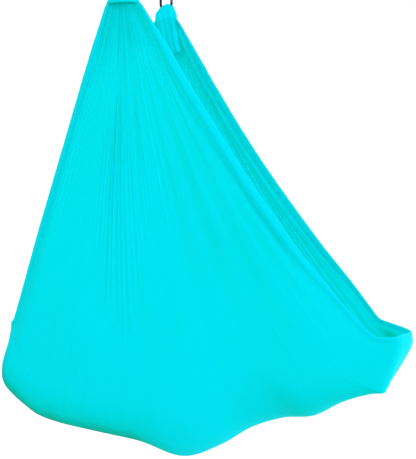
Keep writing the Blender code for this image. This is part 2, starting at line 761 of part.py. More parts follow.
def hem(end):
    """The rolled hem along the sling's edge at u = end, from the front neck round the bed to the back neck."""
    rows = sling_rows()
    outer, inner = [], []
    for row in rows:
        share = hem_share(row)
        outer.append(loop_point(row[0], end, *row[1:]))
        inner.append(loop_point(row[0], share if end == 0 else 1 - share, *row[1:]))
    middle = [(a + b) / 2 for a, b in zip(outer, inner)]
    rings = []
    for i, centre in enumerate(middle):
        wide = (outer[i] - inner[i]).normalized()
        along = middle[min(i + 1, len(rows) - 1)] - middle[max(i - 1, 0)]
        thick = along.cross(wide).normalized()
        half_width = (outer[i] - inner[i]).length / 2 - HEM_PLAY
        half_thick = min(HEM_THICKNESS / 2, half_width)
        ring = []
        for a in round_angles(HEM_SIDES):
            ring.append(centre + half_width * math.cos(a) * wide + half_thick * math.sin(a) * thick)
        rings.append(ring)
    return lofted(rings)


def build_mounts(steel, bright_steel):
    for name, y, _, _ in SIDES:
        node(f"{name}_plate", MESHES["plate"], steel, place=(0, y, 0))
        node(f"{name}_eye", MESHES["eye"], steel, place=(0, y, 0))
        for end, x in BOLTS:
            node(f"{name}_{end}_bolt", MESHES["bolt"], bright_steel, place=(x, y, 0))
            node(f"{name}_{end}_washer", MESHES["washer"], bright_steel, place=(x, y, 0))


def build_carabiners(name, y, hangers, finish, pin_finish):
    """The upper and lower carabiner of one hanging point, with their gates."""
    for level, top_z in (("upper", UPPER_TOP_Z), ("lower", LOWER_TOP_Z)):
        full = f"{name}_{level}"
        hanger = hangers[level]
        hinge = (OVAL_RADIUS, y, top_z + HINGE_Z)
        node(f"{full}_carabiner", MESHES["carabiner"], finish, hanger, (0, y, top_z))
        node(f"{full}_hinge_pin", MESHES["pin"], pin_finish, hanger, hinge)
        gate = node(f"{full}_gate", MESHES["gate"], finish, hanger, hinge)
        node(f"{full}_latch_pin", MESHES["pin"], pin_finish, gate, (OVAL_RADIUS, y, top_z + LATCH_Z))
        node(f"{full}_plunger", MESHES["plunger"], pin_finish, gate, hinge)
        node(f"{full}_gate_spring", MESHES["spring"], pin_finish, gate, hinge)
        node(f"{full}_sleeve", MESHES["sleeve"], finish, gate, hinge)


def build_hangers(finish, pin_finish, webbing):
    """The carabiners and strap of each hanging point. It gives the sling's own pivot."""
    sling = None
    for name, y, _, _ in SIDES:
        swing = pivot(f"{name}_swing", (0, y, EYE_BAR_Z))
        strap_pivot = pivot(f"{name}_strap_pivot", (0, y, UPPER_BOTTOM_Z), swing)
        if sling is None:
            sling = pivot("sling_pivot", (0, y, LOWER_TOP_Z), strap_pivot)
        node(f"{name}_strap", MESHES["strap"], webbing, strap_pivot, (0, y, UPPER_BOTTOM_Z))
        build_carabiners(name, y, {"upper": swing, "lower": sling}, finish, pin_finish)
    return sling


def build_sling(sling, cloth):
    node("sling_cloth", sling_cloth(), cloth, sling)
    node("head_hem", hem(0), cloth, sling)
    node("foot_hem", hem(1), cloth, sling)
    for name, y, inwards, neck in SIDES:
        node(f"{name}_knot", knot(y, neck), cloth, sling)
        node(f"{name}_neck_wrap", neck_wrap(y, neck), cloth, sling)
        node(f"{name}_tail", tail(y, inwards), cloth, sling)


clear_scene()
MESHES = {
    "plate": ceiling_plate(),
    "eye": eye(),
    "bolt": bolt(),
    "washer": washer(),
    "carabiner": carabiner_body(),
    "gate": gate_body(),
    "pin": rod_along_y(0.0, 0.0, PIN_RADIUS, GATE_RADIUS - PIN_SINK, PIN_SIDES),
    "plunger": plunger(),
    "spring": gate_spring(),
    "sleeve": sleeve(),
    "strap": strap(),
}
DARK_STEEL = material("dark_steel", (0.03, 0.03, 0.035), 0.35, 0.9)
PIN_STEEL = material("pin_steel", (0.55, 0.55, 0.57), 0.3, 1.0)
PLATE_STEEL = material("plate_steel", (0.45, 0.46, 0.48), 0.35, 1.0)
WEBBING = material("black_webbing", (0.02, 0.02, 0.022), 0.85, 0.0)
CLOTH = material("cyan_cloth", (0.0, 0.68, 0.82), 0.55, 0.0)

build_mounts(PLATE_STEEL, PIN_STEEL)
build_sling(build_hangers(DARK_STEEL, PIN_STEEL, WEBBING), CLOTH)
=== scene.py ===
"""The looks of the aerial hammock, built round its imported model."""

import json
import math

import bmesh
import bpy
import numpy as np
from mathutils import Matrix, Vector

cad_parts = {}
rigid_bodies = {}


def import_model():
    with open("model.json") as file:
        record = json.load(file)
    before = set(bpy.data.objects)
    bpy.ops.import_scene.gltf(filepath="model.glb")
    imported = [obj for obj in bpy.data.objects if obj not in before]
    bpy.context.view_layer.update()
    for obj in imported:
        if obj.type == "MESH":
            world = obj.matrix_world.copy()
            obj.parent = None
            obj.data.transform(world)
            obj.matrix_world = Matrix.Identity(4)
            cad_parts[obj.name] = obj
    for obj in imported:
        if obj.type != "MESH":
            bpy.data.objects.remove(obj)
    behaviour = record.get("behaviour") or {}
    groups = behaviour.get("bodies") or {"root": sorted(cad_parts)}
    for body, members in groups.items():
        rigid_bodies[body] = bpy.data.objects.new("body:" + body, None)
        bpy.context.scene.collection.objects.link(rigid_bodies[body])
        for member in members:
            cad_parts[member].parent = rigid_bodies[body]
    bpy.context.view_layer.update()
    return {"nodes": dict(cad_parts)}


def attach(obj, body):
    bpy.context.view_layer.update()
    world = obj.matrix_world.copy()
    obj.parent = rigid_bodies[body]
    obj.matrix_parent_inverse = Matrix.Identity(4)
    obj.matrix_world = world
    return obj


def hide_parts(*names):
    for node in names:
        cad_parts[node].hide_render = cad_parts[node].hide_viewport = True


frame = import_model()

# The model's own places, in metres
HANG_SPACING = 0.5
PLATE_THICKNESS = 0.005
WASHER_THICKNESS = 0.002
SEAT_GAP = 0.0003
BOLT_X = 0.039
BOLT_RADIUS = 0.005
BOLT_EMBED = 0.050
HEAD_ACROSS_FLATS = 0.016
HEAD_HEIGHT = 0.0064
EYE_BAR_RADIUS = 0.005
EYE_BEND_RADIUS = 0.017
EYE_BAR_Z = -0.038
BAR_RADIUS = 0.0055
OVAL_RADIUS = 0.024
OVAL_LENGTH = 0.099
HINGE_Z = -0.030
NOSE_SHOULDER_Z = -0.070
LATCH_Z = -0.0658
GATE_RADIUS = 0.0052
TONGUE_WIDTH = 0.008
TONGUE_THICKNESS = 0.004
PIN_RADIUS = 0.0015
SLEEVE_FOOT = -0.0305
SLEEVE_LENGTH = 0.020
SLEEVE_INNER = 0.0058
SLEEVE_OUTER = 0.0080
UPPER_TOP_Z = -0.0272
UPPER_BOTTOM_Z = UPPER_TOP_Z - OVAL_LENGTH
STRAP_LENGTH = 0.3108
STRAP_WIDTH = 0.018
STRAP_THICKNESS = 0.002
STRAP_JOIN = 0.024
POCKET_DEPTH = 0.0095
POCKET_COUNT = 4
TACK_LENGTH = 0.008
TACK_WIDTH = 0.014
TACK_ROWS, TACK_PITCH, THREAD_RADIUS = 9, 0.0007, 0.0004
LOWER_TOP_Z = UPPER_BOTTOM_Z - STRAP_LENGTH
NECK_Z = -0.580
KNOT_TOP_Z = -0.5125
KNOT_DEPTH = 0.060
KNOT_LEAN = 0.008
NECK_DEPTH = 0.040
WRAP_RADIUS = 0.0065
WRAP_PLAY = 0.0006
WRAP_DROP = 0.0065
TAIL_WIDTH = 0.074
TAIL_LENGTH = 0.150
TAIL_OFFSET, TAIL_LEAN = 0.006, 0.036
SLING_DROP = 1.786
BED_LENGTH = 1.712
# Each hanging point: its name, its place along Y, the way to the middle and its neck's width
SIDES = (("front", 0.0, 1.0, 0.130), ("back", HANG_SPACING, -1.0, 0.100))
# How far each foot hem bows away from a straight line, at nine even places from the neck to the rim
FOOT_BOWS = {
    "front": (0.0, 0.010, 0.024, 0.035, 0.043, 0.045, 0.041, 0.022, 0.0),
    "back": (0.0, 0.014, 0.026, 0.036, 0.039, 0.035, 0.026, 0.009, 0.0),
}
# Each side's foot rim: how far it stops short of the middle's, and how far it stands above it
FOOT_RIMS = {"front": (0.022, -0.014), "back": (0.040, 0.044)}
LEVELS = (("upper", UPPER_TOP_Z), ("lower", LOWER_TOP_Z))
# The keel from the head rim to the foot rim, as shares of the bed's length and the sling's drop
KEEL_SHARES = (
    (-0.330, 0.703), (-0.338, 0.758), (-0.346, 0.816), (-0.333, 0.858), (-0.282, 0.897),
    (-0.226, 0.9255), (-0.1155, 0.946), (0.002, 0.967), (0.099, 0.999), (0.184, 0.972),
    (0.262, 0.928), (0.338, 0.904), (0.410, 0.895), (0.479, 0.861), (0.541, 0.8395),
    (0.569, 0.8355), (0.575, 0.823), (0.600, 0.780), (0.622, 0.739), (0.619, 0.713),
)
SHOULDER_SHARE, SHOULDER_POWER = 0.84, 12.0
HEAD_SHOULDER_SHARE, FOOT_SHOULDER_SHARE = 0.935, 0.91
BED_HALF_WIDTH, END_HALF_WIDTH = 0.21, 0.12
RIM_RISE, RIM_POWER, WIDTH_POWER = 0.26, 2.5, 2.5
RIM_START_SHARE, BOW_START_SHARE = 0.88, 0.5
# The foot cap's lean, and the crease beside it, by its middle and half width across the cloth
CAP_SLANT, CAP_START_SHARE, CAP_CREASE_RATIO = 0.022, 0.94, 1.1
NEAR_CREASE_SHARES, FAR_CREASE_SHARES = (0.897, 0.036), (0.885, 0.035)
FAR_CREASE_DEPTH = 0.012
# How square the bed's corners are: round at the head, square at the foot, a little flatter in between
ROUND_TIP, SQUARE_TIP, FLATTER_TIP = 2.0, 10.0, 2.0
FLATTER_SHARES, SQUARE_SHARES = (0.02, 0.14, 0.30, 0.52), (0.70, 0.98)
LEG_ROWS, TIP_ROWS = 44, 30
# Rounds of smoothing: over the whole cloth, over the crisper foot end, and over the near rim's wide bend
ROUNDINGS, FOOT_ROUNDINGS, BEND_ROUNDINGS = 24, 7, 200
CRISP_SHARES, BEND_SHARES = (0.78, 0.88), (0.93, 1.0)
BEND_PLACE, BEND_HALF = 0.012, 0.024
WAIST_RATIO, WAIST_HALF = 0.09, 0.012

# The sheet's own sizes
CUT_WIDTH, CUT_LENGTH = 1.85, 2.95
COLUMNS, ROWS = 440, 222
PLEATS, STREAKS, NARROW_STREAKS = 46, 46, 88
NECK_PLEAT, BED_PLEAT, NARROW_PLEAT = 0.0032, 0.0018, 0.0025
HEM_WIDTH, HEM_NECK_WIDTH, HEM_BED_WIDTH = 0.036, 0.014, 0.020
HEM_THICKNESS = 0.0125
HEM_GROWS, HEM_NARROWS = (0.0, 0.28), (0.95, 1.45)
WALE_PITCH, COURSE_PITCH = 0.0016, 0.0021
STITCH_ROWS, STITCH_HALF = (0.0045, 0.0085), 0.0007
STITCH_PITCH, STITCH_SHARE = 0.006, 0.62
GROOVE_PLACE, GROOVE_HALF, GROOVE_SHARE = 0.0065, 0.0022, 0.30
HEM_HOLLOW_REACH, HEM_HOLLOW_SHARE = (1.05, 1.30, 1.55, 1.70), 0.75
KNOT_RIDGE_PITCH, KNOT_RIDGE_LIFT, KNOT_GATHER_LIFT = 0.0145, 0.0019, 0.0011


# Helpers for curves and meshes
def unit(v):
    return v / np.maximum(np.linalg.norm(v, axis=-1, keepdims=True), 1e-12)


def smoothstep(low, high, x):
    t = np.clip((x - low) / (high - low), 0, 1)
    return t * t * (3 - 2 * t)


def window(a, b, c, d, x):
    """0 up to a, 1 from b to c, and 0 again from d on."""
    return smoothstep(a, b, x) * (1 - smoothstep(c, d, x))


def bump(middle, half, x):
    return np.exp(-(((x - middle) / half) ** 2))


def through(a, b, c, d, t):
    """The point at share t of the way from b to c, on a smooth curve through all four."""
    return (2 * b + (c - a) * t + (2 * a - 5 * b + 4 * c - d) * t**2 + (3 * b - a - 3 * c + d) * t**3) / 2


def run_along(line):
    """How far each point is along the line."""
    return np.insert(np.cumsum(np.linalg.norm(np.diff(line, axis=0), axis=1)), 0, 0)


def points_at(at, places, points):
    """The line's points at other places: places says where its own points are."""
    return np.stack([np.interp(at, places, one) for one in points.T], -1)


def grid_faces(rows, columns, closed_rows=False, closed_columns=False):
    i = np.arange(rows if closed_rows else rows - 1)
    j = np.arange(columns if closed_columns else columns - 1)
    i, j = np.meshgrid(i, j, indexing="ij")
    i2, j2 = (i + 1) % rows, (j + 1) % columns
    corners = [i * columns + j, i * columns + j2, i2 * columns + j2, i2 * columns + j]
    return [tuple(face) for face in np.stack(corners, -1).reshape(-1, 4).tolist()]


def capped(rings, first, last):
    """Points and faces of a skin over open rings, closed by a fan round a middle point at each end."""
    count, sides = rings.shape[:2]
    faces = grid_faces(count, sides, False, True)
    top = (count - 1) * sides
    for j in range(sides):
        k = (j + 1) % sides
        faces += [(count * sides, k, j), (count * sides + 1, top + j, top + k)]
    return np.vstack([rings.reshape(-1, 3), first, last]), faces


def bare_mesh(name, points, faces, outward=True):
    mesh = bpy.data.meshes.new(name)
    mesh.from_pydata([tuple(p) for p in np.asarray(points, float).tolist()], [], faces)
    if outward:
        shape = bmesh.new()
        shape.from_mesh(mesh)
        bmesh.ops.recalc_face_normals(shape, faces=shape.faces)
        shape.to_mesh(mesh)
        shape.free()
    return mesh


def smooth_shaded(mesh, degrees):
    """Shades the mesh smooth, but for edges sharper than the given angle."""
    mesh.shade_smooth()
    mesh.set_sharp_from_angle(angle=math.radians(degrees))


def linked(name, data):
    obj = bpy.data.objects.new(name, data)
    bpy.context.scene.collection.objects.link(obj)
    return obj


def mesh_object(name, points, faces, cut=None, outward=True):
    """An object of the scene. cut is each point's place on the flat cloth, across and along, in metres."""
    mesh = bare_mesh(name, points, faces, outward)
    smooth_shaded(mesh, 50)
    if cut is not None:
        flat = np.zeros((len(points), 3), np.float32)
        flat[:, : cut.shape[1]] = cut
        mesh.attributes.new("cut", "FLOAT_VECTOR", "POINT").data.foreach_set("vector", flat.ravel())
    return linked(name, mesh)


def dress(obj, look, body, slot, *nodes):
    obj.data.materials.append(look)
    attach(obj, body)
    if nodes:
        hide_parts(*nodes)
    return obj


def carried(path, start, closed=False):
    """Two axes square to the path at each point, carried along it without a twist."""
    if closed:
        along = unit(np.roll(path, -1, 0) - np.roll(path, 1, 0))
    else:
        along = unit(np.gradient(path, axis=0))
    across = np.empty_like(path)
    v = np.asarray(start, float)
    for i, t in enumerate(along):
        v = v - t * v.dot(t)
        v = v / np.linalg.norm(v)
        across[i] = v
    return across, np.cross(along, across)


def swept(path, across, up, a, b, closed=False):
    """Points, faces and flat places of a tube along path: a and b are each ring's offsets along its axes."""
    rings = path[:, None] + a[..., None] * across[:, None] + b[..., None] * up[:, None]
    run = run_along(path)
    rim = np.hypot(np.diff(a, axis=1, append=a[:, :1]), np.diff(b, axis=1, append=b[:, :1]))
    turn = np.cumsum(rim, axis=1) - rim
    cut = np.stack([turn, np.broadcast_to(run[:, None], turn.shape)], -1).reshape(-1, 2)
    if closed:
        return rings.reshape(-1, 3), grid_faces(*a.shape, True, True), cut
    points, faces = capped(rings, rings[0].mean(0), rings[-1].mean(0))
    return points, faces, np.vstack([cut, cut[:1], cut[-1:]])


def merged(parts):
    points, faces, cuts, first = [], [], [], 0
    for p, f, c in parts:
        points.append(p)
        cuts.append(c)
        faces += [tuple(i + first for i in face) for face in f]
        first += len(p)
    return np.vstack(points), faces, np.vstack(cuts)


def turns(sides):
    return np.arange(sides) * 2 * math.pi / sides


def half_round(x, z, radius, start, steps=14):
    angles = [start + math.pi * i / steps for i in range(steps + 1)]
    return [(x + radius * math.cos(a), z + radius * math.sin(a)) for a in angles]


def ring_at(radius, angle, z):
    return np.column_stack([radius * np.cos(angle), radius * np.sin(angle), np.full(len(angle), z)])


def round_tube(path, radius, sides, start, closed=False):
    path = np.asarray(path, float)
    across, up = carried(path, start, closed)
    radius = np.broadcast_to(np.asarray(radius, float), (len(path),))
    a = radius[:, None] * np.cos(turns(sides))
    b = radius[:, None] * np.sin(turns(sides))
    return swept(path, across, up, a, b, closed)


# The sling's surface
def keel_table():
    """The keel's points at close steps, and each one's share of its length."""
    given = np.array([(x * BED_LENGTH, 0, NECK_Z - z * SLING_DROP) for x, z in KEEL_SHARES])
    ends = np.vstack([2 * given[0] - given[1], given, 2 * given[-1] - given[-2]])
    line = []
    for four in zip(ends, ends[1:], ends[2:], ends[3:]):
        line += [through(*four, t) for t in np.arange(12) / 12]
    line = np.array(line + [ends[-2]])
    run = run_along(line)
    return run / run[-1], line


KEEL_AT, KEEL = keel_table()


def bow_at(name, t):
    """The foot hem's bow at share t of its leg, as a smooth curve through the given ones."""
    given = FOOT_BOWS[name]
    last = len(given) - 1
    at = min(t * last, last - 1e-6)
    i = int(at)
    return through(given[max(i - 1, 0)], given[i], given[i + 1], given[min(i + 2, last)], at - i)


def corner_power(u):
    """The power that rounds or squares the bed's corner at each share in u."""
    flatter = FLATTER_TIP * window(*FLATTER_SHARES, u)
    return 2 / (ROUND_TIP + flatter + (SQUARE_TIP - ROUND_TIP) * smoothstep(*SQUARE_SHARES, u))


def cap_slant(u, near):
    """How far the foot cap leans along its side, and the crease where it begins."""
    if near:
        crease = CAP_CREASE_RATIO * bump(*NEAR_CREASE_SHARES, u)
        return CAP_SLANT * (smoothstep(CAP_START_SHARE, 1.0, u) - crease)
    return FAR_CREASE_DEPTH * bump(*FAR_CREASE_SHARES, u)


def half_loop(u, side):
    """Points from the neck down to the keel for each share in u, as (rows, columns, 3)."""
    name, place, inwards, neck = side
    near = inwards > 0
    flat = np.zeros_like(u)
    keel = points_at(u, KEEL_AT, KEEL)
    edge = abs(2 * u - 1)
    end_share = np.where(u < 0.5, HEAD_SHOULDER_SHARE, FOOT_SHOULDER_SHARE)
    pull = SHOULDER_SHARE + (end_share - SHOULDER_SHARE) * edge**SHOULDER_POWER
    rise = keel[:, 2] + RIM_RISE * (1 - edge**RIM_POWER)
    shoulder = np.stack([keel[:, 0] * pull, flat, rise], -1)
    short, lift = (size * smoothstep(RIM_START_SHARE, 1.0, u) for size in FOOT_RIMS[name])
    shoulder[:, 0] -= short
    half = END_HALF_WIDTH + (BED_HALF_WIDTH - END_HALF_WIDTH) * (1 - edge**WIDTH_POWER)
    middle = HANG_SPACING / 2
    start = np.stack([(2 * u - 1) * neck / 2, flat, np.full_like(u, NECK_Z)], -1)
    run = shoulder + np.stack([flat, flat, lift], -1) - start
    felt = smoothstep(BOW_START_SHARE, 1.0, u)
    slant, power = cap_slant(u, near), corner_power(u)
    out = unit(np.stack([run[:, 2], flat, -run[:, 0]], -1))
    rows = []
    for t in np.arange(LEG_ROWS) / LEG_ROWS:
        point = start + run * t + (bow_at(name, t) * felt)[:, None] * out
        point[:, 1] = place + t * (middle - inwards * half - place)
        rows.append(point)
    for t in np.linspace(0, math.pi / 2, TIP_ROWS + 1):
        outwards, aside = np.sin(t) ** power, np.clip(np.cos(t), 0, None) ** power
        point = shoulder + (keel - shoulder) * outwards[:, None]
        point[:, 0] -= slant * aside * outwards
        point[:, 2] += lift * ((aside**2 + 1 - outwards) / 2 if near else 1 - outwards)
        point[:, 1] = middle - inwards * half * aside
        rows.append(point)
    return np.array(rows)


def lengths(grid, axis):
    """How far each point is along its own line of the grid."""
    gap = np.linalg.norm(np.diff(grid, axis=axis), axis=2)
    return np.insert(np.cumsum(gap, axis=axis), 0, 0, axis=axis)


def relaxed(grid, weight=1):
    """Moves each inner row half way to the middle of its two neighbours, by a weight for each column."""
    grid[1:-1] += 0.5 * weight * ((grid[:-2] + grid[2:]) / 2 - grid[1:-1])


def loops(u, rows):
    """Whole loops from the front neck to the back one, evenly spaced along each, rounded at the shoulders."""
    line = np.vstack([half_loop(u, SIDES[0]), half_loop(u, SIDES[1])[:-1][::-1]])
    run = lengths(line, 0)
    share = run / run[-1]
    fine = 4 * rows
    v = np.linspace(0, 1, fine)
    even = np.stack([points_at(v, share[:, j], line[:, j]) for j in range(len(u))], 1)
    soft_columns = (1 - smoothstep(*CRISP_SHARES, u))[:, None]
    for turn in range(ROUNDINGS):
        relaxed(even, 1 if turn < FOOT_ROUNDINGS else soft_columns)
    # the near foot hem runs into its rim in a wide bend
    soft = even.copy()
    for _ in range(BEND_ROUNDINGS):
        relaxed(soft)
    corner = share[(len(line) - 1) // 2 - TIP_ROWS]
    weight = bump(corner[None] - BEND_PLACE, BEND_HALF, v[:, None]) * smoothstep(*BEND_SHARES, u)[None]
    even += weight[..., None] * (soft - even)
    return np.stack([points_at(np.linspace(0, 1, rows), v, even[:, j]) for j in range(len(u))], 1)


def normals_of(grid):
    return unit(np.cross(np.gradient(grid, axis=0), np.gradient(grid, axis=1)))


BASE = loops(np.linspace(0, 1, COLUMNS), ROWS)
RUN = lengths(BASE, 0)
FROM_NECK = np.minimum(RUN, RUN[-1] - RUN)
# each wrap draws its neck in
BASE[..., 0] *= 1 - WAIST_RATIO * bump(WRAP_DROP, WAIST_HALF, FROM_NECK)
NORMALS = normals_of(BASE)


def hem_width(s):
    grown = HEM_NECK_WIDTH + (HEM_WIDTH - HEM_NECK_WIDTH) * smoothstep(*HEM_GROWS, s)
    return grown + (HEM_BED_WIDTH - HEM_WIDTH) * smoothstep(*HEM_NARROWS, s)


def drawn_in(grid, distance):
    """The grid's rows, from distance inside one edge to as far inside the other."""
    share = np.linspace(0, 1, grid.shape[1])
    rows = []
    for row, wide, inside in zip(grid, lengths(grid, 1), distance):
        rows.append(points_at(inside + (wide[-1] - 2 * inside) * share, wide, row))
    return np.array(rows)


# How the cloth's folds show, in its shape and as shade and highlight painted into its colour. Shares go from
# head hem to foot hem, and reaches along the cloth from a neck. A pair is where a change starts and ends, and
# four values are a window's. Below: the height that counts as a full fold for the painted shade and
# highlight, the painted shade at a neck as a furrow's depth, and its reach.
FULL_FOLD_SHADE, NECK_SHADE, NECK_SHADE_REACH = 0.004, 0.0024, 0.75
TIGHT_REACH, TIGHT_SHADE = 0.36, 0.12
CALM_SHARE = 0.012
STREAK_FADE_SHARES = (0.48, 0.75)
# Each side's share of NECK_PLEAT, its denser groups of streaks (middle and half share, extra depth), its long
# folds' depth and count, and how far its streaks fade towards the foot
NEAR_FOLDS = (1.0, ((0.10, 0.06, 0.9), (0.43, 0.07, 1.5)), 0.0015, 4.5, 0.8)
FAR_FOLDS = (0.8, ((0.30, 0.08, 0.4), (0.80, 0.16, 1.3)), 0.0016, 6.5, 0.0)
LONG_FOLD_SHARE = 0.61
NARROW_SHARES, NARROW_REACH, NARROW_SHADE = (0.66, 0.80, 0.95, 0.99), (0.25, 0.7, 1.5, 1.75), 1.2
FOOT_TROUGH, HEAD_TROUGH, TROUGH_SHADE = 0.0120, 0.0010, 0.3
TROUGH_PLACE, TROUGH_HALF = 0.011, 0.014
RIDGE_RATIO, RIDGE_PLACE, RIDGE_HALF = 0.15, 0.055, 0.020
FOOT_SHADE, FOOT_SHADE_SHARES, FOOT_SHADE_REACH = 0.0022, (0.62, 0.85), (0.15, 0.5)
# Painted shade on the bed's lowest part: how it fades off the middle across the cloth, and its window of
# shares
UNDERSIDE_SHADE_ACROSS, UNDERSIDE_SHADE_SHARES = (0.020, 0.088), (0.03, 0.10, 0.40, 0.50)
# Painted shade in the hollow just inside the foot rim: its strength, then its middle and half from neck to
# neck and across the cloth
RIM_HOLLOW_SHADE, RIM_HOLLOW_RUN, RIM_HOLLOW_SHARE = 0.85, (0.560, 0.017), (0.978, 0.015)
# The soft hollows low on each side: their runs from neck to neck, then middle and half share, and depth
HOLLOW_RUNS, HOLLOW_HALF_RUN = (0.455, 0.545), 0.012
HOLLOWS = ((0.14, 0.020, 0.005), (0.235, 0.018, 0.007), (0.335, 0.03, 0.006))


def waves(rng, share, count, spread, fading=0.0):
    """Uneven waves across the cloth, wider towards the foot: the wave and a sampler of one value for each."""
    place = (np.arange(count) + 0.5) / count
    width = rng.uniform(1 - spread, 1 + spread, count) * (1 + 1.1 * smoothstep(0.5, 1.0, place))
    edges = np.concatenate([[0], np.cumsum(width)]) / width.sum()
    phase = np.interp(share, edges, np.arange(count + 1))

    def each(values):
        return np.interp(phase, np.arange(count) + 0.5, values)

    skew = each(rng.uniform(-0.35, 0.35, count))
    turn = 2 * math.pi * phase
    wave = np.cos(turn + skew * np.sin(turn)) + 0.15 * np.cos(2 * turn + 5 * skew)
    return wave * (1 - fading * smoothstep(*STREAK_FADE_SHARES, share)), each


def pleats(rng, share, s, groups, depth, fading):
    """One neck's pleats, tight at the neck and loose further down: how far each point stands out."""
    wave, each = waves(rng, share, PLEATS, 0.45)
    grow = 0.4 + 0.6 * smoothstep(0.02, 0.2, s)
    weight = each(rng.uniform(0.5, 1.2, PLEATS))
    tight = depth * grow * np.exp(-((s / TIGHT_REACH) ** 1.6)) * (wave * weight)[None]
    wave, each = waves(rng, share, STREAKS, 0.55, fading)
    weight = rng.uniform(0, 1, STREAKS)
    shown, reach = 0.12 + 1.8 * each(weight**3), 0.65 + 0.35 * each(weight)
    for middle, half, extra in groups:
        dense = extra * bump(middle, half, share)
        shown, reach = shown + dense, reach + 0.3 * dense
    begin = each(rng.uniform(0.05, 0.45, STREAKS))[None]
    along = smoothstep(begin, begin + 0.25, s) * (1 - smoothstep(0.6, 1.15, s / reach[None]))
    patchy = 1 + 0.35 * np.sin(5.3 * s + each(rng.uniform(0, 12, STREAKS))[None])
    return tight, BED_PLEAT * along * patchy * (shown * wave)[None]


def long_folds(share, s, depth, count):
    """A few wide folds beside the foot hem that run on down to the bed."""
    place = np.clip((share - LONG_FOLD_SHARE) / (1 - LONG_FOLD_SHARE), 0, 1)
    shown = window(0, 0.25, 0.93, 1.0, place)[None] * window(0.10, 0.45, 0.85, 1.5, s)
    wander = 0.35 * np.sin(2.1 * s + 5 * place[None])
    return depth * shown * (np.cos(2 * math.pi * count * place[None] ** 1.15 + wander) - 0.6)


def narrow_streaks(rng, share, s):
    """Fine streaks down the far side's inner face."""
    wave, _ = waves(rng, share, NARROW_STREAKS, 0.5)
    return NARROW_PLEAT * (window(*NARROW_SHARES, share) * wave)[None] * window(*NARROW_REACH, s)


def troughs(base, s):
    """The trough beside each hem's roll, with a low ridge beyond it."""
    wide = lengths(base, 1)
    start = hem_width(s) / 2
    fade = smoothstep(0.0, 0.08, s) * (1 - 0.8 * smoothstep(1.0, 1.5, s))
    for distance, depth in ((wide[:, -1:] - wide, FOOT_TROUGH), (wide, HEAD_TROUGH)):
        ridge = RIDGE_RATIO * bump(start + RIDGE_PLACE, RIDGE_HALF, distance)
        yield depth * fade * (ridge - bump(start + TROUGH_PLACE, TROUGH_HALF, distance))


def under_shade(share, run):
    """How far the bed's lowest part, and the hollow just inside the foot rim, take the painted underside
    shade.
    """
    low = (1 - smoothstep(*UNDERSIDE_SHADE_ACROSS, np.abs(run - 0.5))) * window(*UNDERSIDE_SHADE_SHARES, share)[None]
    return low + RIM_HOLLOW_SHADE * bump(*RIM_HOLLOW_RUN, run) * bump(*RIM_HOLLOW_SHARE, share)[None]


def cloth_shift(base):
    """How far each point stands out, and its fold for the painted colour: from -1, shaded in a furrow, to 1,
    highlighted on a ridge, or -2 for the painted shade underneath.
    """
    rng = np.random.default_rng(11)
    share = np.linspace(0, 1, base.shape[1])
    near = lengths(base, 0)
    far, run = near[-1] - near, near / near[-1]
    calm = smoothstep(0, CALM_SHARE, share) * smoothstep(0, CALM_SHARE, 1 - share)
    shift, shade = np.zeros(base.shape[:2]), np.zeros(base.shape[:2])
    for s, (depth, groups, fold, count, fading) in ((near, NEAR_FOLDS), (far, FAR_FOLDS)):
        tight, loose = pleats(rng, share, s, groups, depth * NECK_PLEAT, fading)
        loose += long_folds(share, s, fold, count)
        if s is far:
            streaks = narrow_streaks(rng, share, s)
            loose += streaks
            # painted shade along the far side's fine streaks
            shade += NARROW_SHADE * streaks
        shift += (tight + loose) * calm
        # painted shade from the pleats' and folds' heights, and more painted shade near each neck
        shade += (TIGHT_SHADE * tight + loose) * calm - NECK_SHADE * np.exp(-((s / NECK_SHADE_REACH) ** 2))
    s = np.minimum(near, far)
    for trough in troughs(base, s):
        shift += trough
        # painted shade in the trough beside each hem
        shade += TROUGH_SHADE * trough * (1 - 0.8 * smoothstep(0.75, 1.05, s))
    # painted shade: the near side is darker towards its foot hem
    darker = smoothstep(*FOOT_SHADE_SHARES, share) * smoothstep(*FOOT_SHADE_REACH, near)
    shade -= FOOT_SHADE * darker * (1 - smoothstep(0.49, 0.51, run))
    for side in HOLLOW_RUNS:
        for place, half, depth in HOLLOWS:
            shift -= depth * bump(side, HOLLOW_HALF_RUN, run) * bump(place, half, share)[None]
    fold = np.clip(shade / FULL_FOLD_SHADE, -1, 1)
    # the bed's lowest part and the foot rim's hollow take the painted underside shade, down to -2
    return shift, fold - (2 + fold) * under_shade(share, run)


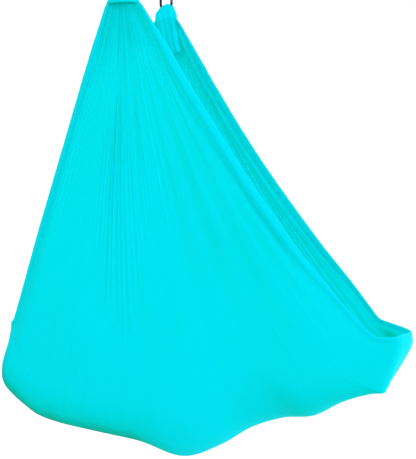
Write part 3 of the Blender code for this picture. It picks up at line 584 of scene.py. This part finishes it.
# Materials
class Nodes:
    """A node tree, with short ways to add to it."""

    def __init__(self, tree):
        self.tree = tree

    def link(self, a, b):
        self.tree.links.new(a, b)

    def put(self, socket, value):
        if hasattr(value, "is_output"):
            self.link(value, socket)
        else:
            socket.default_value = value

    def add(self, kind, output, inputs, **settings):
        """Adds a node, puts each input's value or link in its place, and gives one output."""
        node = self.tree.nodes.new(kind)
        for key, value in settings.items():
            setattr(node, key, value)
        for key, value in inputs.items():
            self.put(node.inputs[key], value)
        return node.outputs[output]

    def attribute(self, name):
        return self.add("ShaderNodeAttribute", "Vector", {}, attribute_name=name)

    def place(self, kind="Object"):
        return self.add("ShaderNodeTexCoord", kind, {})

    def scaled(self, vector, scale):
        return self.add("ShaderNodeMapping", "Vector", {"Vector": vector, "Scale": scale})

    def noise(self, vector, scale, detail=3.0, roughness=0.5):
        inputs = {"Vector": vector, "Scale": scale, "Detail": detail, "Roughness": roughness}
        return self.add("ShaderNodeTexNoise", "Fac", inputs)

    def bands(self, vector, period, direction="X"):
        inputs = {"Vector": vector, "Scale": 2 * math.pi / (20 * period)}
        return self.add("ShaderNodeTexWave", "Fac", inputs, wave_type="BANDS", bands_direction=direction)

    def math(self, kind, a, b=0.0, c=0.0):
        return self.add("ShaderNodeMath", 0, {0: a, 1: b, 2: c}, operation=kind)

    def remap(self, value, low, high, out_low, out_high):
        names = ("Value", "From Min", "From Max", "To Min", "To Max")
        return self.add("ShaderNodeMapRange", 0, dict(zip(names, (value, low, high, out_low, out_high))))

    def separate(self, vector, index):
        return self.add("ShaderNodeSeparateXYZ", index, {0: vector})

    def mix(self, share, a, b):
        return self.add("ShaderNodeMix", 2, {0: share, 6: a, 7: b}, data_type="RGBA")

    def bump(self, height, distance, strength=1.0, under=None):
        inputs = {"Strength": strength, "Distance": distance, "Height": height}
        if under is not None:
            inputs["Normal"] = under
        return self.add("ShaderNodeBump", "Normal", inputs)


class Look(Nodes):
    """A material's nodes and its shader."""

    def __init__(self, name):
        self.material = bpy.data.materials.new(name)
        self.material.use_nodes = True
        super().__init__(self.material.node_tree)
        self.shader = self.tree.nodes["Principled BSDF"]

    def thin(self, share, colour, normal):
        """Lets part of the light through, as thin cloth does."""
        through = self.add("ShaderNodeBsdfTranslucent", 0, {"Color": colour, "Normal": normal})
        both = self.add("ShaderNodeMixShader", 0, {0: share, 1: self.shader.outputs["BSDF"], 2: through})
        self.link(both, self.tree.nodes["Material Output"].inputs["Surface"])

    def set(self, **values):
        for key, value in values.items():
            self.put(self.shader.inputs[key.replace("_", " ")], value)


# The cloth's uneven dye runs between the first two colours, and its fold paints shade towards the first and
# highlight towards the second; the third is painted shade underneath
CLOTH_DEEP_DYE_AND_SHADE = (0.0, 0.820, 0.690, 1)
CLOTH_PALE_DYE_AND_HIGHLIGHT = (0.0, 0.930, 0.955, 1)
CLOTH_UNDERSIDE_SHADE = (0.0, 0.540, 0.280, 1)
CLOTH_THREAD = (0.0, 0.60, 0.76, 1)
HEM_PALE = 0.42


def knit_height(look, flat):
    """Fine wales along the cloth, courses across it, and some fuzz."""
    wales = look.bands(flat, WALE_PITCH)
    courses = look.bands(flat, COURSE_PITCH, "Y")
    knit = look.math("MULTIPLY", wales, look.math("MULTIPLY_ADD", courses, 0.4, 0.6))
    fuzz = look.noise(look.scaled(flat, (900, 500, 0)), 1.0, 2)
    return look.math("ADD", knit, look.math("MULTIPLY", fuzz, 0.5))


def stitches(look, flat):
    """The hem's two rows of stitches: where their thread shows, and the whole lines that it draws down."""
    along = look.math("FRACT", look.math("DIVIDE", look.separate(flat, 1), STITCH_PITCH))
    dash = look.math("LESS_THAN", along, STITCH_SHARE)
    away = [look.math("SUBTRACT", look.separate(flat, 2), place) for place in STITCH_ROWS]
    rows = [look.math("LESS_THAN", look.math("ABSOLUTE", gap), STITCH_HALF) for gap in away]
    lines = look.math("MAXIMUM", *rows)
    return look.math("MULTIPLY", lines, dash), lines


def cloth_look(name, stitched=False, thin=0.0):
    """Cyan nylon tricot: paler over a ridge as a painted highlight and deeper in a furrow as painted shade,
    with a fine knit, a soft sheen and uneven dye.

    Its flat place's third value is the fold that sets the painted shade and highlight, or on a hem the
    distance from its inner edge.
    """
    look = Look(name)
    flat = look.attribute("cut")
    cloud = look.noise(look.place(), 2.2, 4)
    streak = look.noise(look.scaled(flat, (60, 1.6, 0)), 1.0, 3)
    # the fold paints shade in a furrow and highlight on a ridge; a hem keeps one tone
    pale = HEM_PALE if stitched else look.remap(look.separate(flat, 2), -1, 1, 0.1, 0.9)
    pale = look.math("ADD", pale, look.remap(cloud, 0.3, 0.7, -0.08, 0.08))
    pale = look.math("SUBTRACT", pale, look.remap(streak, 0.45, 0.75, 0, 0.18))
    colour = look.mix(pale, CLOTH_DEEP_DYE_AND_SHADE, CLOTH_PALE_DYE_AND_HIGHLIGHT)
    normal = look.bump(knit_height(look, flat), 0.00006, 0.6)
    if stitched:
        thread, lines = stitches(look, flat)
        colour = look.mix(look.math("MULTIPLY", thread, 0.8), colour, CLOTH_THREAD)
        height = look.math("SUBTRACT", thread, look.math("MULTIPLY", lines, 0.6))
        normal = look.bump(height, 0.0005, 0.8, normal)
    else:
        # painted shade underneath and in the hollow inside the foot rim
        colour = look.mix(look.remap(look.separate(flat, 2), -1, -2, 0, 1), colour, CLOTH_UNDERSIDE_SHADE)
    look.set(Base_Color=colour, Roughness=look.remap(cloud, 0.2, 0.8, 0.56, 0.68), Normal=normal)
    look.set(Specular_IOR_Level=0.01)
    look.set(Sheen_Weight=0.10, Sheen_Roughness=0.40, Sheen_Tint=(0.25, 0.95, 1.0, 1))
    if thin:
        look.thin(thin, colour, normal)
    return look.material


def steel_look(name, colour, worn, roughness, metallic, grain):
    """Steel with a fine drawn grain, faint dulling and brighter rubbed spots."""
    look = Look(name)
    place = look.place()
    cloud = look.noise(place, 60, 4)
    rubbed = look.remap(look.noise(place, 240, 6, 0.7), 0.60, 0.74, 0, 1)
    brushed = look.noise(look.scaled(place, grain), 1.0, 4)
    dulled = look.mix(cloud, (*colour, 1), (*(0.8 * c for c in colour), 1))
    rough = look.remap(cloud, 0.3, 0.7, roughness - 0.06, roughness + 0.08)
    look.set(Base_Color=look.mix(rubbed, dulled, (*worn, 1)), Metallic=metallic)
    look.set(Roughness=look.math("ADD", rough, look.math("MULTIPLY", rubbed, 0.1)))
    look.set(Normal=look.bump(brushed, 0.00004, 0.5))
    return look.material


def webbing_look():
    """Black nylon webbing: ribs of weft over the warp, matt and a little dusty."""
    look = Look("black_webbing_look")
    flat = look.attribute("cut")
    ribs = look.bands(flat, 0.0022, "Y")
    warp = look.bands(flat, 0.0015)
    weave = look.math("MULTIPLY_ADD", ribs, 0.7, look.math("MULTIPLY", warp, 0.3))
    dust = look.noise(look.place(), 90, 5)
    colour = look.mix(weave, (0.010, 0.010, 0.011, 1), (0.034, 0.034, 0.037, 1))
    colour = look.mix(look.remap(dust, 0.55, 0.8, 0, 0.35), colour, (0.07, 0.07, 0.07, 1))
    look.set(Base_Color=colour, Roughness=look.remap(dust, 0.2, 0.8, 0.74, 0.9))
    look.set(Normal=look.bump(weave, 0.0003, 0.9), Sheen_Weight=0.2, Sheen_Roughness=0.5)
    return look.material


def thread_look():
    """Black sewing thread with its twist."""
    look = Look("tack_thread_look")
    twist = look.bands(look.attribute("cut"), 0.0009, "DIAGONAL")
    colour = look.mix(twist, (0.02, 0.02, 0.022, 1), (0.06, 0.06, 0.064, 1))
    look.set(Base_Color=colour, Roughness=look.remap(twist, 0, 1, 0.5, 0.7))
    look.set(Normal=look.bump(twist, 0.0001, 0.8))
    return look.material


# Each steel's colour, its colour where it's rubbed, its roughness, how metallic it is, and its grain's scale
STEELS = {
    "dark_steel": ((0.030, 0.030, 0.034), (0.20, 0.20, 0.21), 0.34, 0.9, (900, 900, 60)),
    "pin_steel": ((0.55, 0.55, 0.57), (0.75, 0.75, 0.76), 0.30, 1.0, (700, 60, 700)),
    "plate_steel": ((0.45, 0.46, 0.48), (0.62, 0.62, 0.64), 0.38, 1.0, (40, 800, 800)),
}
single_cloth = cloth_look("cyan_sheet_look", thin=0.10)
cloth = cloth_look("cyan_cloth_look")
hem_cloth = cloth_look("cyan_hem_look", stitched=True)
steels = {name: steel_look(f"{name}_look", *values) for name, values in STEELS.items()}
webbing = webbing_look()
thread = thread_look()

# The sling's cloth
sheet_base = drawn_in(BASE, hem_width(FROM_NECK[:, 0]) / 2)
shift, fold = cloth_shift(sheet_base)
points = sheet_base + normals_of(sheet_base) * shift[..., None]
across, down = np.meshgrid(np.linspace(0, CUT_WIDTH, COLUMNS), np.linspace(0, CUT_LENGTH, ROWS))
# the cut's third value is the fold, which paints shade and highlight into the cloth's colour
cut = np.stack([across, down, fold], -1).reshape(-1, 3)
sling = mesh_object("sling_sheet", points.reshape(-1, 3), grid_faces(ROWS, COLUMNS), outward=False, cut=cut)
dress(sling, single_cloth, "sling", "cyan_cloth", "sling_cloth")


def sampled(values):
    """A value or a point for each row of the cloth, at three times as many places."""
    rows, fine = np.arange(ROWS), np.linspace(0, ROWS - 1, 3 * ROWS)
    return np.interp(fine, rows, values) if values.ndim == 1 else points_at(fine, rows, values)


def hem_roll(name, column):
    """The rolled hem along one edge, a little puckered, with a groove where its stitches draw it down."""
    rng = np.random.default_rng(5 + column)
    edge, s = BASE[:, column], FROM_NECK[:, column]
    half = hem_width(s) / 2
    inwards = BASE[:, :40] if column == 0 else BASE[:, :-41:-1]
    inside = np.array([points_at(2 * h, run_along(line), line) for h, line in zip(half, inwards)])
    outward = sampled(NORMALS[:, column])
    middle, across = sampled((edge + inside) / 2), unit(sampled(unit(inside - edge)))
    half, s = sampled(half), sampled(s)
    along = unit(np.gradient(middle, axis=0))
    across = unit(across - along * (across * along).sum(-1, keepdims=True))
    up = np.cross(along, across)
    kinks = rng.uniform(-1, 1, 400)
    pucker = np.interp(np.arange(len(s)) * 0.37, np.arange(400), kinks) * (1 - 0.6 * smoothstep(0.4, 1.4, s))
    thick = np.minimum(HEM_THICKNESS / 2, half * 0.8) * (1 - 0.3 * smoothstep(1.0, 1.5, s))
    middle = middle - outward * (0.8 * thick * smoothstep(0.9, 1.3, s))[:, None]
    angle = turns(20)[None]
    a = half[:, None] * np.cos(angle)
    groove = 1 - GROOVE_SHARE * bump(half[:, None] - GROOVE_PLACE, GROOVE_HALF, a)
    # the roll is hollow along its middle beside the bed
    hollow = HEM_HOLLOW_SHARE * window(*HEM_HOLLOW_REACH, s)
    groove -= hollow[:, None] * bump(0, 0.5 * half[:, None], a)
    b = (thick * (1 + 0.10 * pucker))[:, None] * np.sin(angle) * groove
    a = a * (1 + 0.03 * pucker)[:, None]
    points, faces, cut = swept(middle, across, up, a, b)
    stitch = np.concatenate([(half[:, None] - a).ravel(), [0, 0]])
    return mesh_object(name, points, faces, cut=np.column_stack([cut, stitch]))


for end, column in (("head", 0), ("foot", COLUMNS - 1)):
    roll = hem_roll(f"{end}_hem_roll", column)
    dress(roll, hem_cloth, "sling", "cyan_cloth", f"{end}_hem")


# Knots, wraps and tails
def waist_half(neck):
    """Half the width of the gathered cloth under its wrap."""
    return neck / 2 - 2 * WRAP_RADIUS - WRAP_PLAY


def knot_profile(neck):
    """Each ring's height, half width and half depth, from the waist up and over the bow."""
    foot, waist = NECK_Z + SEAT_GAP, waist_half(neck)
    bulge_z = foot + 0.16 * (KNOT_TOP_Z - foot)
    full, deep = 0.465 * neck, KNOT_DEPTH / 2 + 0.002
    profile = []
    for t in np.linspace(0, 1, 26):
        grown = 0.55 + 0.45 * math.sqrt(max((t - 0.05) / 0.95, 0))
        thick = NECK_DEPTH / 2 + (deep - NECK_DEPTH / 2) * grown
        profile.append((foot + (bulge_z - foot) * t, waist + (full - waist) * grown, thick))
    for phi in np.linspace(0, math.pi / 2 * 0.985, 30)[1:]:
        z, squeeze = bulge_z + (KNOT_TOP_Z - bulge_z) * math.sin(phi), math.cos(phi)
        profile.append((z, full * squeeze**1.3, deep * squeeze**0.8))
    return profile


def knot_folds(name, y, neck, seed):
    """The bight over the carabiner's bow: ridges of cloth that run over its top and gather at the waist."""
    rng = np.random.default_rng(seed)
    profile, angle = knot_profile(neck), turns(128)
    foot = profile[0][0]
    phase, tilt = rng.uniform(0, 6), rng.uniform(-8, 8)
    rings = []
    for z, wide, thick in profile:
        up = (z - foot) / (KNOT_TOP_Z - foot)
        x, aside = wide * np.cos(angle) + KNOT_LEAN * smoothstep(0.4, 1.0, up), thick * np.sin(angle)
        out = unit(np.stack([np.cos(angle) / wide, np.sin(angle) / thick], -1))
        over = smoothstep(0.2, 0.5, up)
        ridge = np.cos(2 * math.pi * x / KNOT_RIDGE_PITCH + phase + tilt * up + 0.8 * np.sin(9 * up + 20 * x))
        gather = np.cos(17 * angle + 1.3 * np.sin(5 * up + 2 * angle)) + 0.4 * np.cos(31 * angle + 2)
        lift = over * KNOT_RIDGE_LIFT * ridge * (1 - 0.7 * smoothstep(0.85, 1.0, up))
        lift += (1 - over) * KNOT_GATHER_LIFT * gather
        ring = np.stack([x, y + aside], -1) + out * lift[:, None]
        rings.append(np.column_stack([ring, np.full(len(x), z)]))
    points, faces = capped(np.array(rings), (0, y, foot), (KNOT_LEAN, y, KNOT_TOP_Z))
    cut = np.column_stack([points[:, 0] + points[:, 1], points[:, 2]])
    return mesh_object(name, points, faces, cut=cut)


def twisted_wrap(name, y, neck):
    """The turn of cloth round the waist, twisted as it is wound."""
    half_width, half_depth = waist_half(neck), NECK_DEPTH / 2
    around = turns(180)
    flat = np.zeros_like(around)
    out = unit(np.stack([np.cos(around) / half_width, np.sin(around) / half_depth, flat], -1))
    middle = np.stack([half_width * np.cos(around), half_depth * np.sin(around), flat], -1)
    path = middle + out * (WRAP_RADIUS + WRAP_PLAY - 0.0012) + (0, y, NECK_Z - WRAP_DROP)
    up = np.broadcast_to(np.array([0, 0, 1.0]), path.shape)
    angle, turn = turns(36)[None], around[:, None]
    twist = 0.075 * np.cos(3 * angle + 7 * turn) + 0.03 * np.cos(8 * angle + 13 * turn)
    radius = WRAP_RADIUS * (0.93 + twist)
    a, b = radius * np.cos(angle), radius * np.sin(angle)
    return mesh_object(name, *swept(path, out, up, a, b, closed=True))


# Shares of a tail's length, with its width there against TAIL_WIDTH, or how far inside the neck it stands
TAIL_WIDTHS = ((-0.27, 0.0, 0.2, 0.45, 0.75, 0.93, 1.0), (0.85, 1.14, 1.10, 1.04, 1.06, 0.98, 0.74))
TAIL_STANDS = ((-0.27, -0.16, -0.05, 0.04, 0.16, 1.0), (0.020, 0.030, 0.0375, 0.0375, 0.031, 0.0395))
TAIL_START = -0.026


def folded_tail(name, y, inwards, seed):
    """The free end: a folded tongue that comes out of the knot, over the wrap, and hangs inside the sling."""
    rng = np.random.default_rng(seed)
    angle = turns(96)
    drop = np.linspace(TAIL_START, TAIL_LENGTH, 70)
    t = drop / TAIL_LENGTH
    wide = TAIL_WIDTH / 2 * np.interp(t, *TAIL_WIDTHS)
    stand = np.interp(t, *TAIL_STANDS)
    stand = np.convolve(np.pad(stand, 4, mode="edge"), np.ones(9) / 9, mode="valid")
    phase = rng.uniform(0, 6, 3)
    rings = []
    for d, w, out, share in zip(drop, wide, stand, t):
        x = w * np.sign(np.cos(angle)) * abs(np.cos(angle)) ** 0.8
        half = 0.0030 * np.sign(np.sin(angle)) * abs(np.sin(angle)) ** 0.7
        swing = 0.0012 + 0.0030 * smoothstep(-0.1, 0.7, share)
        place = x / TAIL_WIDTH
        turn = 2 * math.pi * place
        fold = np.sin(3.1 * turn + phase[0] + 0.9 * share) + 0.45 * np.sin(6.7 * turn + phase[1] - share)
        slant = 0.007 * smoothstep(0.6, 1.0, share) * (2 * place + 0.5 * np.sin(18 * place + phase[2]))
        x = x + TAIL_OFFSET + TAIL_LEAN * share
        rings.append(np.column_stack([x, y + inwards * (out + swing * fold + half), NECK_Z - d + slant]))
    points, faces = capped(np.array(rings), rings[0].mean(0), rings[-1].mean(0))
    return mesh_object(name, points, faces, cut=points[:, ::2])


for seed, (name, y, inwards, neck) in enumerate(SIDES):
    pieces = {
        "knot": knot_folds(f"{name}_knot_folds", y, neck, 21 + seed),
        "neck_wrap": twisted_wrap(f"{name}_neck_turn", y, neck),
        "tail": folded_tail(f"{name}_tail_folds", y, inwards, 31 + seed),
    }
    for node, piece in pieces.items():
        dress(piece, cloth, "sling", "cyan_cloth", f"{name}_{node}")


# Straps
def strap_path():
    """The webbing's line round both bows, the top of each sewn join, and each layer's way off the middle."""
    sag = OVAL_RADIUS - BAR_RADIUS - math.sqrt((OVAL_RADIUS - BAR_RADIUS) ** 2 - (STRAP_WIDTH / 2) ** 2)
    loop = BAR_RADIUS + sag + SEAT_GAP + STRAP_THICKNESS / 2
    layer = (STRAP_THICKNESS + SEAT_GAP) / 2
    pitch = (STRAP_LENGTH - 2 * STRAP_JOIN - TACK_LENGTH) / POCKET_COUNT
    pocket = pitch - TACK_LENGTH
    path = half_round(0, 0, loop, 0, 30)
    tops = [-STRAP_JOIN - n * pitch for n in range(POCKET_COUNT + 1)]
    for top in tops:
        path.append((-layer, top))
        if top > tops[-1]:
            for share in np.arange(24) / 24:
                bulge = POCKET_DEPTH * math.sin(math.pi * share) ** 2
                path.append((-layer - bulge, top - TACK_LENGTH - pocket * share))
    path.append((-layer, STRAP_JOIN - STRAP_LENGTH))
    path += half_round(0, -STRAP_LENGTH, loop, math.pi, 30)
    path += [(layer, z) for z in np.linspace(STRAP_JOIN - STRAP_LENGTH, -STRAP_JOIN, 60)]
    return np.array([(0, y, z) for y, z in path]), tops, layer


def strap_band(name, y):
    path, _, _ = strap_path()
    path = path + (0, y, UPPER_BOTTOM_Z)
    along = unit(np.roll(path, -1, 0) - np.roll(path, 1, 0))
    across = np.broadcast_to(np.array([1.0, 0, 0]), path.shape)
    up = np.cross(along, across)
    edge, half = STRAP_WIDTH / 2, STRAP_THICKNESS / 2
    arc = np.linspace(-math.pi / 2, math.pi / 2, 7)
    aside, off = edge - half + half * np.cos(arc), half * np.sin(arc)
    a, b = np.concatenate([aside, -aside]), np.concatenate([off, -off])
    a, b = (np.broadcast_to(v, (len(path), len(v))) for v in (a, b))
    return mesh_object(name, *swept(path, across, up, a, b, closed=True))


def tack_threads(name, y):
    """The bar tacks: close rows of thread over each join, on both faces."""
    _, tops, layer = strap_path()
    parts = []
    for top in tops:
        for side in (-1, 1):
            face = side * (layer + STRAP_THICKNESS / 2 + 0.0002)
            for i in range(TACK_ROWS):
                z = top - 0.001 - TACK_PITCH * i + UPPER_BOTTOM_Z
                half = TACK_WIDTH / 2 - 0.0004 * (i % 2)
                path = [(x, y + face, z) for x in (-half, -half + 0.0006, 0, half - 0.0006, half)]
                radii = THREAD_RADIUS * np.array([0.25, 1, 1.05, 1, 0.25])
                parts.append(round_tube(path, radii, 6, (0, 0, 1)))
    return mesh_object(name, *merged(parts))


for name, y, *_ in SIDES:
    body = f"{name}_strap_band"
    dress(strap_band(f"{name}_webbing_band", y), webbing, body, "black_webbing", f"{name}_strap")
    dress(tack_threads(f"{name}_webbing_tacks", y), thread, body, "black_webbing")


# Hardware
def carved(points, faces, *steps):
    """The closed shape after each Boolean step with another one."""
    base = linked("blank", bare_mesh("shape", points, faces))
    helpers = []
    for operation, shape in steps:
        helper = linked("cutter", bare_mesh("shape", *shape[:2]))
        modifier = base.modifiers.new(operation, "BOOLEAN")
        modifier.operation = operation
        modifier.solver = "EXACT"
        modifier.object = helper
        helpers.append(helper)
    bpy.context.view_layer.update()
    result = bpy.data.meshes.new_from_object(base.evaluated_get(bpy.context.evaluated_depsgraph_get()))
    for obj in [base, *helpers]:
        bpy.data.objects.remove(obj, do_unlink=True)
    return result


def plate_along_y(outline, half):
    count = len(outline)
    points = [(x, s * half, z) for s in (-1, 1) for x, z in outline]
    faces = [(j, (j + 1) % count, count + (j + 1) % count, count + j) for j in range(count)]
    faces += [tuple(range(count)), tuple(range(count, 2 * count))]
    return np.array(points), faces, np.zeros((len(points), 2))


def carabiner_mesh():
    """The bent bar at full roundness, with its hinge tongue and its notched nose."""
    shoulder = HINGE_Z + GATE_RADIUS + SEAT_GAP
    path = [(OVAL_RADIUS, 0, NOSE_SHOULDER_Z)]
    for centre, start in ((OVAL_RADIUS - OVAL_LENGTH, 0.0), (-OVAL_RADIUS, math.pi)):
        for a in np.linspace(start, start - math.pi, 33):
            path.append((OVAL_RADIUS * math.cos(a), 0, centre + OVAL_RADIUS * math.sin(a)))
    path.append((OVAL_RADIUS, 0, shoulder))
    bar = round_tube(path, BAR_RADIUS, 24, (0, 1, 0))
    half = TONGUE_WIDTH / 2
    left, right = OVAL_RADIUS - half, OVAL_RADIUS + half
    tongue = half_round(OVAL_RADIUS, HINGE_Z, half, math.pi)
    tongue += [(right, shoulder + 0.002), (left, shoulder + 0.002)]
    top, foot, edge = LATCH_Z + 0.0038, NOSE_SHOULDER_Z - 0.002, 0.0008
    blade = [(left, foot), (right, foot), (right, top - edge), (right - edge, top)]
    blade += [(left + edge, top), (left, top - edge)]
    radius = PIN_RADIUS + 0.0006
    notch = half_round(OVAL_RADIUS, LATCH_Z, radius, -math.pi / 2)
    notch += [(left - 0.002, LATCH_Z + radius), (left - 0.002, LATCH_Z - radius)]
    plates = merged([plate_along_y(outline, TONGUE_THICKNESS / 2) for outline in (tongue, blade)])
    pin = [(OVAL_RADIUS, y, HINGE_Z) for y in (-0.004, 0.004)]
    hole = round_tube(pin, PIN_RADIUS + SEAT_GAP, 20, (1, 0, 0))
    cuts = merged([hole, plate_along_y(notch, 0.004)])
    mesh = carved(bar[0], bar[1], ("UNION", plates), ("DIFFERENCE", cuts))
    smooth_shaded(mesh, 35)
    return mesh


def sleeve_parts():
    """The knurled sleeve, from a closed section of (radius, height, depth of its flutes)."""
    low, top = SLEEVE_FOOT, SLEEVE_FOOT + SLEEVE_LENGTH
    outer, inner, edge, cut = SLEEVE_OUTER, SLEEVE_INNER, 0.0008, 0.0005
    section = [(inner, low, 0), (outer - edge, low, 0), (outer, low + edge, 0), (outer, low + 0.003, 0)]
    section += [(outer, low + 0.0035, cut), (outer, top - 0.0035, cut), (outer, top - 0.003, 0)]
    section += [(outer, top - edge, 0), (outer - edge, top, 0), (inner, top, 0)]
    angle = turns(96)
    flutes = 0.5 * (1 + np.cos(24 * angle))
    rings = [ring_at(r - depth * flutes, angle, z) for r, z, depth in section]
    return np.vstack(rings), grid_faces(len(section), len(angle), True, True)


def eye_parts():
    """The bent bar and the beads of weld that hold its two feet to the plate."""
    top = -PLATE_THICKNESS - SEAT_GAP
    bend = half_round(0, EYE_BAR_Z + EYE_BEND_RADIUS, EYE_BEND_RADIUS, math.pi, 36)
    path = [(0, y, z) for y, z in [(-EYE_BEND_RADIUS, top), *bend, (EYE_BEND_RADIUS, top)]]
    parts = [round_tube(path, EYE_BAR_RADIUS, 28, (1, 0, 0))]
    angle = turns(72)
    bead = 0.0014 + 0.00022 * np.cos(12 * angle)
    for side in (-1, 1):
        ring = ring_at(EYE_BAR_RADIUS + 0.0004, angle, top - 0.0008) + (0, side * EYE_BEND_RADIUS, 0)
        parts.append(round_tube(ring, bead, 10, (0, 0, 1), closed=True))
    return merged(parts)


def bolt_parts():
    """A hexagon head with a turned chamfer, and a shank with its thread."""
    pitch, thread_depth, angle = 0.0015, 0.0007, turns(48)
    top = -PLATE_THICKNESS - WASHER_THICKNESS - 2 * SEAT_GAP
    foot = top - HEAD_HEIGHT
    hexagon = HEAD_ACROSS_FLATS / 2 / np.cos((angle + math.pi / 6) % (math.pi / 3) - math.pi / 6)
    limits = ((foot, 0.0072), (foot, 0.0078), (foot + 0.0012, 0.0095), (top - 0.0005, 0.0095), (top, 0.0078))
    rings = [ring_at(np.minimum(hexagon, limit), angle, z) for z, limit in limits]
    for z in np.linspace(top + 0.0001, BOLT_EMBED, 170):
        saw = abs(((z / pitch - angle / (2 * math.pi)) % 1) - 0.5) * 2
        depth = thread_depth * smoothstep(0.004, 0.008, z) * saw
        end = 0.0008 * smoothstep(BOLT_EMBED - 0.0015, BOLT_EMBED, z)
        rings.append(ring_at(BOLT_RADIUS - depth - end, angle, z))
    return capped(np.array(rings), (0, 0, foot), (0, 0, BOLT_EMBED))


def steel_part(name, parts, place, steel, body, node):
    piece = mesh_object(name, parts[0] + np.array(place), parts[1])
    dress(piece, steels[steel], body, steel, node)


oval = carabiner_mesh()
sleeve_shape, eye_shape, bolt_shape = sleeve_parts(), eye_parts(), bolt_parts()
for name, y, *_ in SIDES:
    steel_part(f"{name}_eye_bar", eye_shape, (0, y, 0), "plate_steel", "ceiling_mount", f"{name}_eye")
    for end, x in (("head", -BOLT_X), ("foot", BOLT_X)):
        full = f"{name}_{end}_bolt"
        steel_part(f"{full}_thread", bolt_shape, (x, y, 0), "pin_steel", "ceiling_mount", full)
    for level, top in LEVELS:
        full = f"{name}_{level}"
        piece = linked(f"{full}_oval_bar", oval.copy())
        for vertex in piece.data.vertices:
            vertex.co += Vector((0, y, top))
        body = f"{name}_hanger" if level == "upper" else "sling"
        dress(piece, steels["dark_steel"], body, "dark_steel", f"{full}_carabiner")
        place = (OVAL_RADIUS, y, top + HINGE_Z)
        steel_part(f"{full}_lock_sleeve", sleeve_shape, place, "dark_steel", f"{full}_lock", f"{full}_sleeve")

# The model's own steel pieces take the same looks
for obj in bpy.data.objects:
    if obj.type != "MESH" or obj.name not in frame["nodes"]:
        continue
    for slot in obj.material_slots:
        for key, look in steels.items():
            if slot.material and slot.material.name.startswith(key):
                slot.link = "OBJECT"
                slot.material = look
for name, *_ in SIDES:
    for part in ("plate", "head_washer", "foot_washer"):
        bevel = bpy.data.objects[f"{name}_{part}"].modifiers.new("edge", "BEVEL")
        bevel.width = 0.0006
        bevel.segments = 2
        bevel.limit_method = "ANGLE"

# Camera, light and floor
FOCUS_PIXELS, LONG_SIDE_PIXELS, SENSOR_WIDTH = 1300, 459, 36
camera_data = bpy.data.cameras.new("camera")
camera = linked("camera", camera_data)
camera.location = (1.833, -4.663, -1.4626)
camera.rotation_euler = (math.pi / 2, 0, math.radians(17.7))
camera_data.sensor_width = SENSOR_WIDTH
camera_data.lens = SENSOR_WIDTH * FOCUS_PIXELS / LONG_SIDE_PIXELS
bpy.context.scene.camera = camera
bpy.context.scene.view_settings.view_transform = "Standard"

# Soft light from all round, dimmer and green from low down at the head end
world = bpy.data.worlds.new("studio")
bpy.context.scene.world = world
world.use_nodes = True
sky = Nodes(world.node_tree)
toward = {0: sky.place("Generated"), 1: (-0.80, -0.08, -0.59)}
aim = sky.add("ShaderNodeVectorMath", "Value", toward, operation="DOT_PRODUCT")
light = sky.mix(sky.remap(aim, 0.80, 0.35, 0, 1), (0.24, 0.42, 0.0, 1), (1, 1, 1.36, 1))
background = sky.tree.nodes["Background"]
background.inputs["Strength"].default_value = 0.905
sky.link(light, background.inputs["Color"])

# A round studio: its floor curves up into a wall and closes overhead
FLOOR_Z, FLOOR_RADIUS, FLOOR_BEND = -2.85, 24, 6
DOME_RADIUS, DOME_Z, DOME_RISE = FLOOR_RADIUS + FLOOR_BEND, 6, 24
quarter = math.pi / 2
sweep = [(FLOOR_RADIUS * s, FLOOR_Z) for s in (0.0001, 0.1, 0.25, 0.5, 0.75, 1.0)]
for a in np.linspace(0, quarter, 13)[1:]:
    sweep.append((FLOOR_RADIUS + FLOOR_BEND * math.sin(a), FLOOR_Z + FLOOR_BEND * (1 - math.cos(a))))
for a in np.linspace(0, quarter * 0.9999, 17):
    sweep.append((DOME_RADIUS * math.cos(a), DOME_Z + DOME_RISE * math.sin(a)))
angle = turns(72)
floor_points = np.vstack([ring_at(r, angle, z) for r, z in sweep])
floor = mesh_object("floor", floor_points, grid_faces(len(sweep), len(angle), False, True), outward=False)
floor_look = Look("floor_look")
grain = floor_look.noise(floor_look.place(), 3, 2)
floor_look.set(Base_Color=floor_look.mix(grain, (0.95, 0.95, 0.95, 1), (0.98, 0.98, 0.98, 1)), Roughness=0.9,
               Emission_Color=(1, 1, 1, 1), Emission_Strength=0.3)
floor.data.materials.append(floor_look.material)
floor.visible_diffuse = False
floor.visible_glossy = False
floor.visible_shadow = False


def area_light(name, place, target, size, power, colour):
    data = bpy.data.lights.new(name, "AREA")
    data.shape = "DISK"
    data.size = size
    data.energy = power
    data.color = colour
    obj = linked(name, data)
    obj.location = place
    obj.rotation_euler = (Vector(target) - Vector(place)).to_track_quat("-Z", "Y").to_euler()
    obj.visible_camera = False


area_light("key", (-0.9, -4.8, 0.0), (0.0, 0.2, -1.5), 2.0, 24, (1, 1, 1.3))
area_light("side", (3.6, 1.3, -2.6), (0.9, 0.2, -2.0), 1.4, 20, (1, 1, 1.2))
